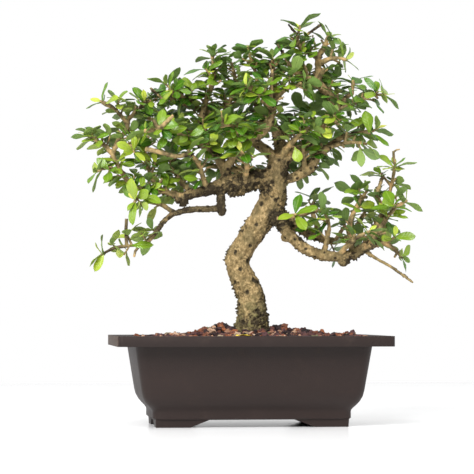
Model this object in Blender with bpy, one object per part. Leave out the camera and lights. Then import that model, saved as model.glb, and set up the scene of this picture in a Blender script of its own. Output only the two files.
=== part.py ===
"""A fukien tea bonsai in its rectangular training pot.

The pot is a moulded tray with a broad lip and four corner feet.  It is filled with soil under a
layer of lava gravel.  The trunk and its limbs are one piece of wood, and every limb ends in a
leafy spray.  All sizes below are in millimetres, measured from the middle of the pot's soles.
"""
import math
import random

import bmesh
import bpy
from mathutils import Matrix, Vector
from mathutils.bvhtree import BVHTree

MM = 0.001
GAP = 0.3

# The pot: half lengths along X, and the half widths are smaller by the same amount at every level
LIP_HALF_LENGTH = 125.0
LENGTH_OVER_WIDTH = 42.0
POT_HEIGHT = 83.0
LIP_HEIGHT = 9.4
FOOT_HEIGHT = 7.0
WALL = 4.0
FLOOR_TOP = 12.5
BODY_TOP_HALF = 108.0
BODY_KNEE_HALF = 100.5
KNEE_HEIGHT = 28.0
BASE_HALF = 91.0
LIP_EDGE = 0.8
CORNER_STEPS = 3
LIP_CORNER = 5.0
BODY_CORNER = 9.0
FOOT_OUTER_HALF = 88.0
FOOT_SOLE = (31.0, 24.0)
FOOT_SHOULDER = 20.0
FOOT_SHOULDER_SHARES = (0.9, 0.6)
FOOT_DRAFT = 0.6
FOOT_SUNK = 2.0
FOOT_FROM_MIDDLE = 2.0
DRAIN_RADIUS = 9.0
DRAIN_SPACING = 92.0

# The filling
SOIL_TOP = 74.0
TRUNK_BASE = (4.8, 0.0)
TRUNK_FOOT = 58.0
TRUNK_HOLE_RADIUS = 16.9
HOLE_SIDES = 16
GRAVEL_EDGE_TOP = 80.0
GRAVEL_MOUND = 8.0
GRAVEL_SEED = 21
CHIP_SPACING = 12.0
CHIP_JITTER = 0.3 * CHIP_SPACING
CHIP_RELIEF = 2.6
LOOSE_CHIPS = 16
LOOSE_CHIP_RADIUS = (4.0, 6.0)
LOOSE_CHIP_FIELD = (94.0, 54.0)
LOOSE_CHIP_LIFT = 0.42
LOOSE_CHIP_FROM_TRUNK = 1.5
CUTTER_SPARE = 10.0

FALLEN_LEAF_PLACE = (-16.0, -57.0)
FALLEN_LEAF_TURN = math.radians(20.0)
FALLEN_LEAF_SIZE = (15.0, 8.5)
FALLEN_LEAF_FOLD = 0.15
FALLEN_LEAF_DROOP = 0.04

# Leaves and the twigs that carry them; angles are in degrees
GROWTH_SEED = 4
LEAF_KEEL = 1.3
ROOT_DEPTH = 0.5
LEAF_LENGTH = (16.5, 23.5)
LEAF_WIDTH_SHARE = (0.52, 0.64)
LEAF_STATIONS = ((0.36, 0.36), (0.75, 0.50))
LEAF_CLEAR_FROM = 0.22
LEAF_CLEARANCE = 0.32
LEAF_SPREAD = (38.0, 62.0)
LEAF_SPREAD_STEP = 7.0
LEAF_ROLL = 0.45
LEAF_FOLD = (0.10, 0.34)
LEAF_DROOP = (0.10, 0.36)
LEAVES_PER_ROSETTE = 4
LEAF_TRIES = 14
SHRINK_PER_TRY = 0.03
ROSETTE_RISE = 0.7
GOLDEN_ANGLE = math.radians(137.5)
ROSETTE_SPACING = 20.5
TWIG_LENGTH = (8.0, 14.0)
TWIG_RADIUS = 1.3
TWIG_TIP_RADIUS = 1.0
TWIG_CLEARANCE = 0.5
TWIG_LEAN = 0.45
TWIG_RISE = 0.45
TWIG_OUTER_FROM = 2.5
LEAF_FIRST_BACK = 1.2
LEAF_STAGGER = 1.3
SLEEVE_SIDES = 6
SLEEVE_SPARE = 1.2

# Every limb is a route of (x, y, z, radius).  The second number says how many of its points
# belong to the bare wood; the stretch beyond them is the limb's leafy spray.
LIMBS = {
    "trunk": (16, [
        (4.8, 0, 58, 15), (4.8, 0, 80, 16), (4.8, 0, 91, 15.6), (5.2, 1.5, 104, 13.4),
        (4.2, 4, 119, 12.7), (0.2, 6, 130, 12.2), (-5.2, 8, 141, 11.4), (-8, 8, 153, 10.9),
        (-1.5, 6, 166, 10.6), (6.5, 4, 179, 10.9), (15, 2, 192, 11.8), (22.5, 0, 205, 12.8),
        (25.4, -2, 217, 11.8), (27, -3, 228, 10.2), (28, -3, 238, 9.8), (30, -2, 247, 8.6)]),
    "left_limb": (7, [
        (27, -3, 228, 9.5), (14, -4.5, 228.5, 9), (-3.7, -6, 226, 8.4), (-20, -8, 223.5, 7.4),
        (-38, -10, 217.5, 5.2), (-52, -12.5, 214, 4.5), (-66, -15, 208.5, 3.9)]),
    "left_tip": (6, [
        (-60, -14, 211, 3.4), (-73, -16, 214, 2.7), (-85, -17, 218, 2.3), (-106, -18, 220, 2.3),
        (-118, -16, 233, 2.3), (-126, -14, 249, 2.3), (-133, -12, 258, 1.8), (-149, -10, 267, 1.2)]),
    "left_rise": (4, [
        (-126, -14, 249, 2.2), (-121, -8, 262, 2.2), (-112.5, -2, 273.5, 2.3), (-110.5, 4, 283, 2),
        (-103, 7, 292, 1.7), (-93, 6, 299, 1.4), (-84, 2, 303, 1.2)]),
    "left_high": (1, [
        (-111, 1, 279, 2.2), (-119, -2, 288, 1.9), (-128, -5, 296, 1.6), (-137, -7, 299, 1.3)]),
    "left_low": (1, [
        (-118, -16, 233, 2.2), (-126, -21, 236, 1.8), (-134, -24, 236, 1.5), (-141, -25, 233, 1.2)]),
    "left_inner": (1, [(-122, -9, 259, 2), (-114, -14, 258, 1.7), (-104, -18, 257, 1.3)]),
    "left_mid": (1, [
        (-85, -17, 218, 2.2), (-90, -9, 230, 2), (-94, -3, 243, 1.8), (-95, 0, 256, 1.5),
        (-92, 0, 268, 1.2)]),
    "left_under": (1, [
        (-96, -17.5, 219, 2.2), (-101, -26, 213, 1.8), (-107, -32, 205, 1.3)]),
    "hanging_stub": (3, [(-25, -8.5, 222, 4.4), (-25.4, -9, 209, 3.9), (-24.3, -9, 196, 3.6)]),
    "low_left": (5, [
        (-25, -9, 200.5, 3.2), (-38, -11, 200, 3.1), (-54, -14, 199, 2.9), (-70, -18, 195, 2.6),
        (-79, -20, 188, 2.3), (-85, -21, 180, 2), (-92, -22, 171.5, 1.9), (-101, -23, 166.5, 1.6),
        (-113.5, -24, 165, 1.5), (-125, -24, 163, 1.3), (-137, -24, 157, 1.1)]),
    "low_left_up": (1, [(-70, -18, 196.5, 2.2), (-80, -14, 203, 1.8), (-92, -11, 206, 1.3)]),
    "rise": (5, [
        (-20, -8, 223.5, 5.5), (-21, -4, 237, 4.6), (-30, 0, 253, 4.2), (-38, 4, 268, 3.8),
        (-42, 8, 284, 3.2), (-38, 10, 301, 2.6), (-31, 10, 319, 2.1), (-30, 9, 333, 1.8),
        (-32, 8, 346, 1.4)]),
    "front_left": (2, [
        (-30, 0, 253, 3.4), (-46, -16, 260, 3), (-64, -26, 267, 2.5), (-82, -32, 271, 2),
        (-98, -34, 270, 1.5)]),
    "back_left": (2, [
        (-38, 4, 268, 3.2), (-56, 20, 277, 2.8), (-74, 36, 285, 2.3), (-92, 46, 289, 1.6)]),
    "crown_left": (6, [
        (29, -2, 243, 6), (20, 0, 254, 5), (9, 2, 262.5, 4.6), (-6, 6, 273, 4.2),
        (-22, 12, 284, 3.6), (-40, 18, 294, 3), (-58, 20, 301, 2.5), (-76, 17, 307, 1.8)]),
    "crown_mid": (7, [
        (-21, -4, 237, 3.8), (-14, -13, 248, 3.6), (-4, -18, 258, 3.8), (8, -20, 267, 3.8),
        (18, -20, 278, 3.6), (22, -18, 291, 3.3), (24, -16, 303, 2.9), (25, -14, 318, 2.3),
        (24, -12, 330, 1.9), (22, -11, 342, 1.4)]),
    "crown_top_left": (1, [
        (23, -17, 297, 2.6), (15, -14, 311, 2.2), (8, -12, 325, 1.9), (3, -11, 338, 1.6),
        (0, -10, 350, 1.3)]),
    "crown_back": (4, [
        (29, -2, 243, 7), (33, 8, 256, 6), (33, 21, 269, 5), (29, 34, 282, 4.2),
        (23, 46, 294, 3.4), (15, 56, 304, 2.6), (5, 64, 312, 1.8)]),
    "crown_back_right": (2, [
        (33, 21, 269, 3.6), (45, 36, 280, 3.2), (59, 50, 290, 2.6), (72, 60, 297, 1.8)]),
    "crown_back_left": (2, [
        (29, 34, 282, 3.2), (10, 46, 285, 2.9), (-10, 57, 286, 2.4), (-30, 66, 286, 1.7)]),
    "crown_right": (9, [
        (29, -2, 243, 7.5), (41, -3, 253, 6.4), (54, -3, 261, 5.4), (66, -1, 271, 4.8),
        (76, 1, 284, 4.4), (82, 3, 300, 4.3), (77, 4, 311, 4.2), (67, 3, 319, 4.1),
        (56, 2, 325, 3.7), (46, 0, 330, 3), (38, -2, 339, 2.1)]),
    "top": (3, [
        (67, 3, 319, 3.4), (68, 4, 330, 3.2), (68, 5, 344, 3), (74, 6, 354, 2.4),
        (78, 6, 364, 1.8)]),
    "top_right": (1, [(68, 4, 338, 2.6), (78, 0, 342, 2), (87, -2, 343, 1.6), (94, -3, 341, 1.3)]),
    "apex": (1, [
        (68, 5, 343, 2.4), (60, 3, 348, 2.1), (51, 1, 352, 2), (48, 0, 360, 1.7),
        (50, -1, 373, 1.2)]),
    "right_shoot": (2, [
        (82, 3, 300, 3), (92, 5, 304, 2.4), (100, 4, 311, 2), (101, 2, 322, 1.4)]),
    "right_tip": (1, [
        (82, 3, 300, 2.5), (93, -3, 300, 2.1), (108, -6, 304, 1.8), (119, -7, 308, 1.5),
        (130, -8, 308, 1.2)]),
    "right_limb": (7, [
        (27, -3, 228, 5.4), (38, -4, 229, 4.6), (49, -6, 232.5, 4.3), (59, -9, 239, 4.2),
        (65, -10, 249, 3.6), (76, -11, 259, 3.1), (89, -12, 268, 2.6), (103, -14, 272, 2),
        (113, -15, 273, 1.6), (121, -15, 275, 1.2)]),
    "right_back": (2, [
        (49, -6, 232.5, 3.8), (57, 14, 241, 3.5), (67, 32, 252, 3), (79, 46, 261, 2.4),
        (91, 56, 267, 1.6)]),
    "thin_shoot": (1, [(54, -7.5, 235, 2.6), (52, -14, 247, 2), (50, -22, 258, 1.4)]),
    "low_right": (10, [
        (22, 0, 205, 8), (30, -4, 191.5, 6.8), (37, -8, 179, 5.5), (46, -11, 169, 5.1),
        (57, -14, 161.5, 4.8), (70, -16, 157.3, 4.7), (84, -18, 156, 4.8), (97, -18, 158.5, 4.8),
        (106, -18, 163, 4.5), (115, -18, 168, 4.2), (127, -18, 169, 3), (136, -19, 163, 1.9),
        (143, -21, 155, 1.3)]),
    "low_right_tail": (4, [
        (106, -18, 163.5, 2.2), (118, -18, 155, 1.6), (133, -19, 146.5, 1.5), (152, -20, 133, 1.2)]),
    "low_right_rise": (2, [
        (97, -18, 159.5, 3.2), (95, -16, 170, 2.7), (94, -14, 182, 2.4), (98, -12, 195, 2.2),
        (105, -10, 208, 1.8), (113, -8, 219, 1.3)]),
    "low_right_high": (1, [
        (112, -18, 166.5, 2.8), (118, -14, 179, 2.4), (125, -13, 194, 2.1), (131, -13, 209, 1.9),
        (135, -13, 226, 1.6), (138, -14, 242, 1.2)]),
    "low_right_far": (1, [
        (113, -19, 167.5, 2.6), (119, -27, 178, 2.2), (126, -29, 190, 1.9), (135, -29, 201, 1.6),
        (146, -28, 208, 1.3)]),
    "low_right_front": (1, [
        (70, -16, 159, 3), (72, -24, 172, 2.2), (73, -29, 184, 1.8), (69, -31, 195, 1.3)]),
    "low_right_side": (1, [
        (84, -18, 157.5, 2.8), (90, -29, 166, 2.2), (99, -37, 174, 1.8), (109, -42, 179, 1.3)]),
    "low_right_back": (1, [
        (106, -18, 163.5, 2.6), (113, -5, 174, 2.1), (122, 3, 187, 1.8), (130, 8, 200, 1.3)]),
    "second_right": (6, [
        (22, 0, 205, 6.4), (36, 5, 194, 4.8), (48, 8, 185, 4.2), (59, 8, 178, 3.9),
        (70, 7, 174, 3.5), (84, 8, 171, 3.1), (97, 15, 175, 2.6), (108, 21, 187, 2.2),
        (117, 24, 202, 1.6)]),
    "second_right_up": (1, [
        (70, 7, 174, 3), (67, 14, 189, 2.2), (64, 18, 202, 1.8), (68, 20, 213, 1.3)]),
    "right_twig": (1, [
        (30, -4, 193, 3.4), (44, -14, 194, 2.4), (56, -19, 197, 1.9), (69, -21, 199, 1.3)]),
    "back_limb": (3, [
        (25.4, -2, 217, 6.2), (23, 14, 225, 5), (15, 34, 233, 4.2), (2, 52, 239, 3.4),
        (-16, 67, 244, 2.6), (-34, 78, 247, 1.7)]),
    "back_right_low": (2, [
        (15, 34, 233, 3.2), (29, 53, 237, 2.9), (44, 69, 242, 2.4), (57, 81, 246, 1.6)]),
    "limb_front_shoot": (1, [
        (-38, -10, 217.5, 2.8), (-43, -19, 229, 2.2), (-48, -27, 241, 1.8), (-58, -32, 253, 1.3)]),
    "limb_back_shoot": (1, [
        (-52, -12.5, 214, 2.8), (-60, 0, 224, 2.2), (-67, 11, 237, 1.8), (-71, 18, 253, 1.3)]),
    "inner_shoot": (1, [
        (-3.7, -6, 226, 3.4), (-3, -22, 235, 2.4), (-4, -33, 244, 1.9), (-10, -42, 251, 1.3)]),
    "fork_shoot": (1, [
        (30, -2, 247, 4), (37, -17, 258, 2.6), (44, -29, 267, 2), (53, -38, 274, 1.4)]),
    "front_right": (1, [
        (54, -3, 261, 4), (62, -19, 270, 2.8), (72, -31, 278, 2.2), (83, -39, 283, 1.5)]),
    "front_mid": (1, [
        (-4, -18, 258, 3), (-11, -32, 266, 2.4), (-20, -43, 273, 2), (-30, -50, 277, 1.4)]),
    "front_high": (1, [
        (22, -18, 291, 2.8), (14, -28, 300, 2.2), (4, -36, 307, 1.8), (-6, -40, 312, 1.3)]),
    "crown_left_up": (1, [
        (-22, 12, 284, 3), (-17, 16, 298, 2.3), (-10, 20, 312, 1.9), (-9, 21, 326, 1.6),
        (-12, 22, 340, 1.3)]),
    "crown_left_front": (1, [
        (-40, 18, 294, 2.6), (-55, 8, 303, 2), (-66, -2, 308, 1.7), (-74, -10, 310, 1.3)]),
    "crown_mid_right": (1, [
        (24, -16, 303, 2.6), (34, -22, 311, 2), (45, -25, 315, 1.6), (54, -24, 317, 1.3)]),
    "crown_right_front": (1, [
        (76, 1, 284, 3), (84, -12, 291, 2.2), (91, -22, 296, 1.7), (99, -27, 298, 1.3)]),
    "crown_right_back": (1, [
        (82, 3, 300, 3), (84, 17, 308, 2.2), (82, 29, 316, 1.7), (76, 38, 321, 1.3)]),
    "right_limb_low": (1, [
        (76, -11, 259, 2.6), (86, -20, 261, 2), (97, -27, 262, 1.6), (108, -30, 260, 1.3)]),
}

# Callus knobs left by old cuts, and short pruned stubs
KNOTS = (
    (25, -8, 192, 6), (88, -19, 151.5, 5), (-14, -8, 215.5, 4.2), (-5, -7, 217.5, 3.8),
    (-61, -15, 205.5, 3.6), (108, -20, 166, 4), (6, -1, 98, 12.6), (-12, 4, 148, 6),
    (18, -5, 214, 6), (36, -5, 174.5, 4.8))
STUBS = (
    ((67, 3, 319, 2.6), (72, -6, 333, 1.8)), ((59, 2, 323.5, 2.2), (53, -6, 336, 1.5)),
    ((106, -18, 163.5, 2.4), (112, -28, 166, 1.6)), ((-85, -17, 218, 2), (-81, -25, 227, 1.3)),
    ((84, 8, 171, 2.2), (93, 3, 186, 1.5)), ((66, -1, 271, 2.4), (70, -9, 281, 1.6)))

# A limb's tube gets one more step of roundness for each of these radii that it passes
ROUNDER_FROM = (3.6, 8.4, 12.0)

COLOURS = {
    "pot": (0.052, 0.042, 0.038, 0.55),
    "soil": (0.050, 0.030, 0.020, 0.95),
    "gravel": (0.190, 0.070, 0.035, 0.90),
    "wood": (0.420, 0.290, 0.160, 0.80),
    "leaf": (0.060, 0.170, 0.025, 0.38),
    "fallen_leaf": (0.620, 0.480, 0.060, 0.50),
}


def make_material(name):
    """A plain Principled material of the piece's own colour."""
    red, green, blue, roughness = COLOURS[name]
    material = bpy.data.materials.new(name)
    material.use_nodes = True
    shader = material.node_tree.nodes["Principled BSDF"]
    shader.inputs["Base Color"].default_value = (red, green, blue, 1.0)
    shader.inputs["Roughness"].default_value = roughness
    shader.inputs["Metallic"].default_value = 0.0
    return material


def add_object(name, mesh, collection):
    """Link a mesh to a collection as a new object."""
    piece = bpy.data.objects.new(name, mesh)
    collection.objects.link(piece)
    return piece


def mesh_from(name, points, faces):
    """A mesh from points in millimetres, with its faces turned outwards."""
    mesh = bpy.data.meshes.new(name)
    mesh.from_pydata([[value * MM for value in point] for point in points], [], faces)
    form = bmesh.new()
    form.from_mesh(mesh)
    bmesh.ops.recalc_face_normals(form, faces=form.faces)
    form.to_mesh(mesh)
    form.free()
    return mesh


def applied(piece):
    """Apply a piece's modifiers."""
    graph = bpy.context.evaluated_depsgraph_get()
    mesh = bpy.data.meshes.new_from_object(piece.evaluated_get(graph))
    piece.modifiers.clear()
    piece.data = mesh


def cut(piece, cutter, operation="DIFFERENCE"):
    """Boolean a piece with one other object, which is then removed."""
    modifier = piece.modifiers.new("cut", "BOOLEAN")
    modifier.operation = operation
    modifier.object = cutter
    modifier.solver = "EXACT"
    applied(piece)
    bpy.data.objects.remove(cutter)


def united(name, meshes, collection, solver="EXACT"):
    """Fuse closed meshes into one object by one union on a collection."""
    parts = bpy.data.collections.new(name + "_parts")
    bpy.context.scene.collection.children.link(parts)
    for number, mesh in enumerate(meshes[1:]):
        add_object(f"{name}_part_{number}", mesh, parts)
    piece = add_object(name, meshes[0], collection)
    modifier = piece.modifiers.new("union", "BOOLEAN")
    modifier.operation = "UNION"
    modifier.operand_type = "COLLECTION"
    modifier.collection = parts
    modifier.solver = solver
    applied(piece)
    for part in list(parts.objects):
        bpy.data.objects.remove(part)
    bpy.data.collections.remove(parts)
    return piece


def rounded_rectangle(half_x, half_y, radius, z):
    """A level ring of points with rounded corners."""
    ring = []
    for corner, (side_x, side_y) in enumerate(((1, 1), (-1, 1), (-1, -1), (1, -1))):
        for step in range(CORNER_STEPS + 1):
            angle = math.radians(90.0 * (corner + step / CORNER_STEPS))
            ring.append((
                side_x * (half_x - radius) + radius * math.cos(angle),
                side_y * (half_y - radius) + radius * math.sin(angle),
                z))
    return ring


def lofted(name, levels):
    """A closed mesh through level rings given as (z, half length, corner radius)."""
    rings = [rounded_rectangle(half, half - LENGTH_OVER_WIDTH, corner, z) for z, half, corner in levels]
    count = len(rings[0])
    faces = [tuple(reversed(range(count)))]
    for level in range(len(rings) - 1):
        for i in range(count):
            j = (i + 1) % count
            below = level * count
            faces.append((below + i, below + j, below + count + j, below + count + i))
    faces.append(tuple(range((len(rings) - 1) * count, len(rings) * count)))
    return mesh_from(name, [point for ring in rings for point in ring], faces)


def pot_cavity_levels(clearance, top):
    """The levels of the pot's inside, shrunk by a clearance, from its floor to a height."""
    wall_slope = (BODY_TOP_HALF - BODY_KNEE_HALF) / (POT_HEIGHT - LIP_HEIGHT - KNEE_HEIGHT)
    knee = BODY_KNEE_HALF - WALL
    corner = BODY_CORNER - WALL
    return [
        (FLOOR_TOP + clearance, BASE_HALF - WALL - 2.0 - clearance, corner),
        (KNEE_HEIGHT - 8.0, knee - 5.5 - clearance, corner),
        (KNEE_HEIGHT, knee - clearance, corner),
        (top, knee + wall_slope * (top - KNEE_HEIGHT) - clearance, corner)]


def make_pot(collection):
    """The tray: body, broad lip and corner feet in one moulding, with two drain holes."""
    lip_under = POT_HEIGHT - LIP_HEIGHT
    outside = [
        (FOOT_HEIGHT, BASE_HALF - 1.4, BODY_CORNER),
        (FOOT_HEIGHT + 1.2, BASE_HALF, BODY_CORNER),
        (14.0, BASE_HALF, BODY_CORNER),
        (17.4, 92.5, BODY_CORNER),
        (21.2, 96.4, BODY_CORNER),
        (KNEE_HEIGHT, BODY_KNEE_HALF, BODY_CORNER),
        (lip_under, BODY_TOP_HALF, BODY_CORNER),
        (lip_under, LIP_HALF_LENGTH - LIP_EDGE, LIP_CORNER),
        (lip_under + LIP_EDGE, LIP_HALF_LENGTH, LIP_CORNER),
        (POT_HEIGHT - LIP_EDGE, LIP_HALF_LENGTH, LIP_CORNER),
        (POT_HEIGHT, LIP_HALF_LENGTH - LIP_EDGE, LIP_CORNER)]
    inside = pot_cavity_levels(0.0, POT_HEIGHT)
    pot = add_object("pot", lofted("pot", outside + inside[::-1]), collection)
    for side in (-1, 1):
        bpy.ops.mesh.primitive_cylinder_add(
            vertices=HOLE_SIDES, radius=DRAIN_RADIUS * MM, depth=4.0 * FLOOR_TOP * MM,
            location=(side * DRAIN_SPACING / 2 * MM, 0.0, 0.0))
        cut(pot, bpy.context.object)
    feet = [foot_mesh(side_x, side_y) for side_x in (-1, 1) for side_y in (-1, 1)]
    body = pot.data
    bpy.data.objects.remove(pot)
    return united("pot", [body] + feet, collection)


def foot_mesh(side_x, side_y):
    """A corner foot: a block whose two inner sides slope up to the pot's underside."""
    form = bmesh.new()
    bmesh.ops.create_cube(form, size=1.0)
    slope = FOOT_SHOULDER / FOOT_HEIGHT
    top = FOOT_HEIGHT + FOOT_SUNK
    outer = (FOOT_OUTER_HALF, FOOT_OUTER_HALF - LENGTH_OVER_WIDTH)
    for point in form.verts:
        raised = point.co.z > 0
        place = []
        for axis in range(2):
            if point.co[axis] > 0:
                place.append(outer[axis] + (FOOT_DRAFT if raised else 0.0))
            else:
                shoulder = slope * top * FOOT_SHOULDER_SHARES[axis] if raised else 0.0
                place.append(max(outer[axis] - FOOT_SOLE[axis] - shoulder, FOOT_FROM_MIDDLE))
        point.co = (side_x * place[0] * MM, side_y * place[1] * MM, (top if raised else 0.0) * MM)
    bmesh.ops.recalc_face_normals(form, faces=form.faces)
    mesh = bpy.data.meshes.new("foot")
    form.to_mesh(mesh)
    form.free()
    return mesh


def trunk_hole(low, high):
    """An upright cutter that leaves room for the trunk's foot."""
    bpy.ops.mesh.primitive_cylinder_add(
        vertices=HOLE_SIDES, radius=TRUNK_HOLE_RADIUS * MM, depth=(high - low) * MM,
        location=(TRUNK_BASE[0] * MM, TRUNK_BASE[1] * MM, (low + high) / 2 * MM))
    return bpy.context.object


def make_soil(collection):
    """The soil fills the pot's inside up to the gravel, round the trunk's foot."""
    soil = add_object("soil", lofted("soil", pot_cavity_levels(GAP, SOIL_TOP)), collection)
    cut(soil, trunk_hole(TRUNK_FOOT - GAP, SOIL_TOP + CUTTER_SPARE))
    return soil


def mound_height(x, y):
    """Height of the gravel's surface, highest at the trunk."""
    away = math.hypot((x - TRUNK_BASE[0]) / 100.0, (y - TRUNK_BASE[1]) / 62.0)
    return GRAVEL_EDGE_TOP + GRAVEL_MOUND * math.exp(-2.2 * away * away)


def chip_mesh(draw, x, y, radius):
    """One angular chip of lava."""
    form = bmesh.new()
    bmesh.ops.create_icosphere(form, subdivisions=1, radius=radius * MM)
    for point in form.verts:
        point.co *= draw.uniform(0.8, 1.2)
    turn = Matrix.Rotation(draw.uniform(0, math.tau), 3, (draw.gauss(0, 1), draw.gauss(0, 1), 1))
    bmesh.ops.rotate(form, matrix=turn, verts=form.verts)
    height = mound_height(x, y) + LOOSE_CHIP_LIFT * radius
    bmesh.ops.translate(form, vec=(x * MM, y * MM, height * MM), verts=form.verts)
    mesh = bpy.data.meshes.new("chip")
    form.to_mesh(mesh)
    form.free()
    return mesh


def make_gravel(collection):
    """A layer of lava chips: facets raised over the mound, with whole chips standing out of it."""
    draw = random.Random(GRAVEL_SEED)
    half_x = BODY_TOP_HALF + CHIP_SPACING
    half_y = half_x - LENGTH_OVER_WIDTH
    columns = round(2 * half_x / CHIP_SPACING)
    rows = round(2 * half_y / CHIP_SPACING)
    form = bmesh.new()
    grid = bmesh.ops.create_grid(form, x_segments=columns, y_segments=rows, size=1.0)
    for point in grid["verts"]:
        x = point.co.x * half_x + draw.uniform(-CHIP_JITTER, CHIP_JITTER)
        y = point.co.y * half_y + draw.uniform(-CHIP_JITTER, CHIP_JITTER)
        z = mound_height(x, y) + draw.uniform(-CHIP_RELIEF, CHIP_RELIEF)
        point.co = (x * MM, y * MM, z * MM)
    bmesh.ops.triangulate(form, faces=form.faces)
    border = [edge for edge in form.edges if edge.is_boundary]
    skirt = bmesh.ops.extrude_edge_only(form, edges=border)["geom"]
    for point in skirt:
        if isinstance(point, bmesh.types.BMVert):
            point.co.z = (SOIL_TOP - CUTTER_SPARE) * MM
    bmesh.ops.holes_fill(form, edges=[edge for edge in form.edges if edge.is_boundary])
    bmesh.ops.recalc_face_normals(form, faces=form.faces)
    slab = bpy.data.meshes.new("gravel")
    form.to_mesh(slab)
    form.free()
    chips = []
    while len(chips) < LOOSE_CHIPS:
        x, y = (draw.uniform(-half, half) for half in LOOSE_CHIP_FIELD)
        radius = draw.uniform(*LOOSE_CHIP_RADIUS)
        nearest = TRUNK_HOLE_RADIUS + radius + LOOSE_CHIP_FROM_TRUNK
        if math.hypot(x - TRUNK_BASE[0], y - TRUNK_BASE[1]) > nearest:
            chips.append(chip_mesh(draw, x, y, radius))
    gravel = united("gravel", [slab] + chips, collection)
    above = POT_HEIGHT + 3 * CUTTER_SPARE
    levels = [pot_cavity_levels(GAP, height)[-1] for height in (SOIL_TOP + GAP, above)]
    cut(gravel, add_object("gravel_room", lofted("gravel_room", levels), collection), "INTERSECT")
    cut(gravel, trunk_hole(SOIL_TOP - CUTTER_SPARE, above))
    return gravel


def tube_mesh(name, points, resolution):
    """A tapering tube through points of (x, y, z, radius), with closed ends."""
    curve = bpy.data.curves.new(name, "CURVE")
    curve.dimensions = "3D"
    curve.bevel_depth = MM
    curve.bevel_resolution = resolution
    curve.use_fill_caps = True
    spline = curve.splines.new("POLY")
    spline.points.add(len(points) - 1)
    for knot, point in zip(spline.points, points):
        knot.co = (point[0] * MM, point[1] * MM, point[2] * MM, 1.0)
        knot.radius = point[3]
    guide = add_object(name, curve, bpy.context.scene.collection)
    graph = bpy.context.evaluated_depsgraph_get()
    mesh = bpy.data.meshes.new_from_object(guide.evaluated_get(graph))
    bpy.data.objects.remove(guide)
    form = bmesh.new()
    form.from_mesh(mesh)
    bmesh.ops.remove_doubles(form, verts=form.verts, dist=0.00001)
    bmesh.ops.recalc_face_normals(form, faces=form.faces)
    form.to_mesh(mesh)
    form.free()
    return mesh


def split_limb(route, bare):
    """The bare stretch and the leafy stretch of a limb, a gap apart in the middle of a segment."""
    if bare >= len(route):
        return list(route), []
    before = Vector(route[bare - 1])
    after = Vector(route[bare])
    share = GAP / 2 / (after - before).to_3d().length
    end = before.lerp(after, 0.5 - share)
    start = before.lerp(after, 0.5 + share)
    return list(route[:bare]) + [end], [start] + list(route[bare:])


class Obstacle:
    """A closed shape that later growth has to miss, with the spray that it belongs to.

    A leaf or twig is rooted in its own spray, so there only its outer part has to be clear.
    """

    def __init__(self, owner, whole, outer=None):
        self.owner = owner
        self.whole = BVHTree.FromPolygons(*whole)
        self.outer = BVHTree.FromPolygons(*outer) if outer else None
        points = whole[0]
        self.centre = sum(points, Vector()) / len(points)
        self.reach = max((point - self.centre).length for point in points)


def around(direction):
    """Two directions square to a given one."""
    side = direction.cross(Vector((0, 0, 1)))
    if side.length < 0.1:
        side = direction.cross(Vector((1, 0, 0)))
    side.normalize()
    return side, side.cross(direction).normalized()


def prism(points, margin):
    """A closed sleeve round a route of (x, y, z, radius), for the clearance tests."""
    corners = []
    faces = []
    for i, point in enumerate(points):
        place = Vector(point[:3])
        ahead = Vector(points[min(i + 1, len(points) - 1)][:3])
        behind = Vector(points[max(i - 1, 0)][:3])
        side, up = around((ahead - behind).normalized())
        for step in range(SLEEVE_SIDES):
            angle = math.tau * step / SLEEVE_SIDES
            offset = side * math.cos(angle) + up * math.sin(angle)
            corners.append(place + offset * (point[3] * SLEEVE_SPARE + margin))
    last = len(corners) - SLEEVE_SIDES
    for low in range(0, last, SLEEVE_SIDES):
        high = low + SLEEVE_SIDES
        for step in range(SLEEVE_SIDES):
            after = (step + 1) % SLEEVE_SIDES
            faces.append((low + step, low + after, high + after, high + step))
    faces.append(tuple(reversed(range(SLEEVE_SIDES))))
    faces.append(tuple(range(last, last + SLEEVE_SIDES)))
    return corners, faces


class Leaf:
    """One blade: its root's place, its axes, its size and how it folds and droops."""

    def __init__(self, root, along, normal, length, width, fold, droop):
        self.root = root
        self.along = along
        self.side = normal.cross(along).normalized()
        self.normal = along.cross(self.side).normalized()
        self.length = length
        self.width = width
        self.fold = fold
        self.droop = droop

    def place(self, forward, across, up):
        """A point of the blade in the object's frame."""
        return self.root + self.along * forward + self.side * across + self.normal * up

    def section(self, t, half, margin):
        """The blade's three-cornered section at a share of its length."""
        centre = -self.droop * self.length * t * t
        edge = centre + self.fold * half + margin
        forward = self.length * t
        return [
            self.place(forward, half + margin, edge),
            self.place(forward, -half - margin, edge),
            self.place(forward, 0.0, centre - LEAF_KEEL - margin)]

    def shape(self, margin=0.0, first=None):
        """Points and faces: a smooth top, a keel below, a pointed root and a tip."""
        sections = [self.section(t, share * self.width, margin) for t, share in LEAF_STATIONS]
        if first is None:
            points = [self.place(-ROOT_DEPTH, 0.0, -LEAF_KEEL / 3)]
            faces = [(0, 1, 2), (0, 2, 3), (0, 3, 1)]
        else:
            reach, share = LEAF_STATIONS[0]
            sections.insert(0, self.section(first, share * self.width * first / reach, margin))
            points = []
            faces = [(0, 1, 2)]
        low = len(points)
        for corners in sections:
            points += corners
        for left in range(low, len(points) - 3, 3):
            right, keel = left + 1, left + 2
            faces += [
                (left, left + 3, right + 3), (left, right + 3, right),
                (right, right + 3, keel + 3), (right, keel + 3, keel),
                (keel, keel + 3, left + 3), (keel, left + 3, left)]
        points.append(self.place(self.length + 2 * margin, 0.0, -self.droop * self.length))
        left, right, keel, tip = range(len(points) - 4, len(points))
        faces += [(left, tip, right), (right, tip, keel), (keel, tip, left)]
        return points, faces


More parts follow.
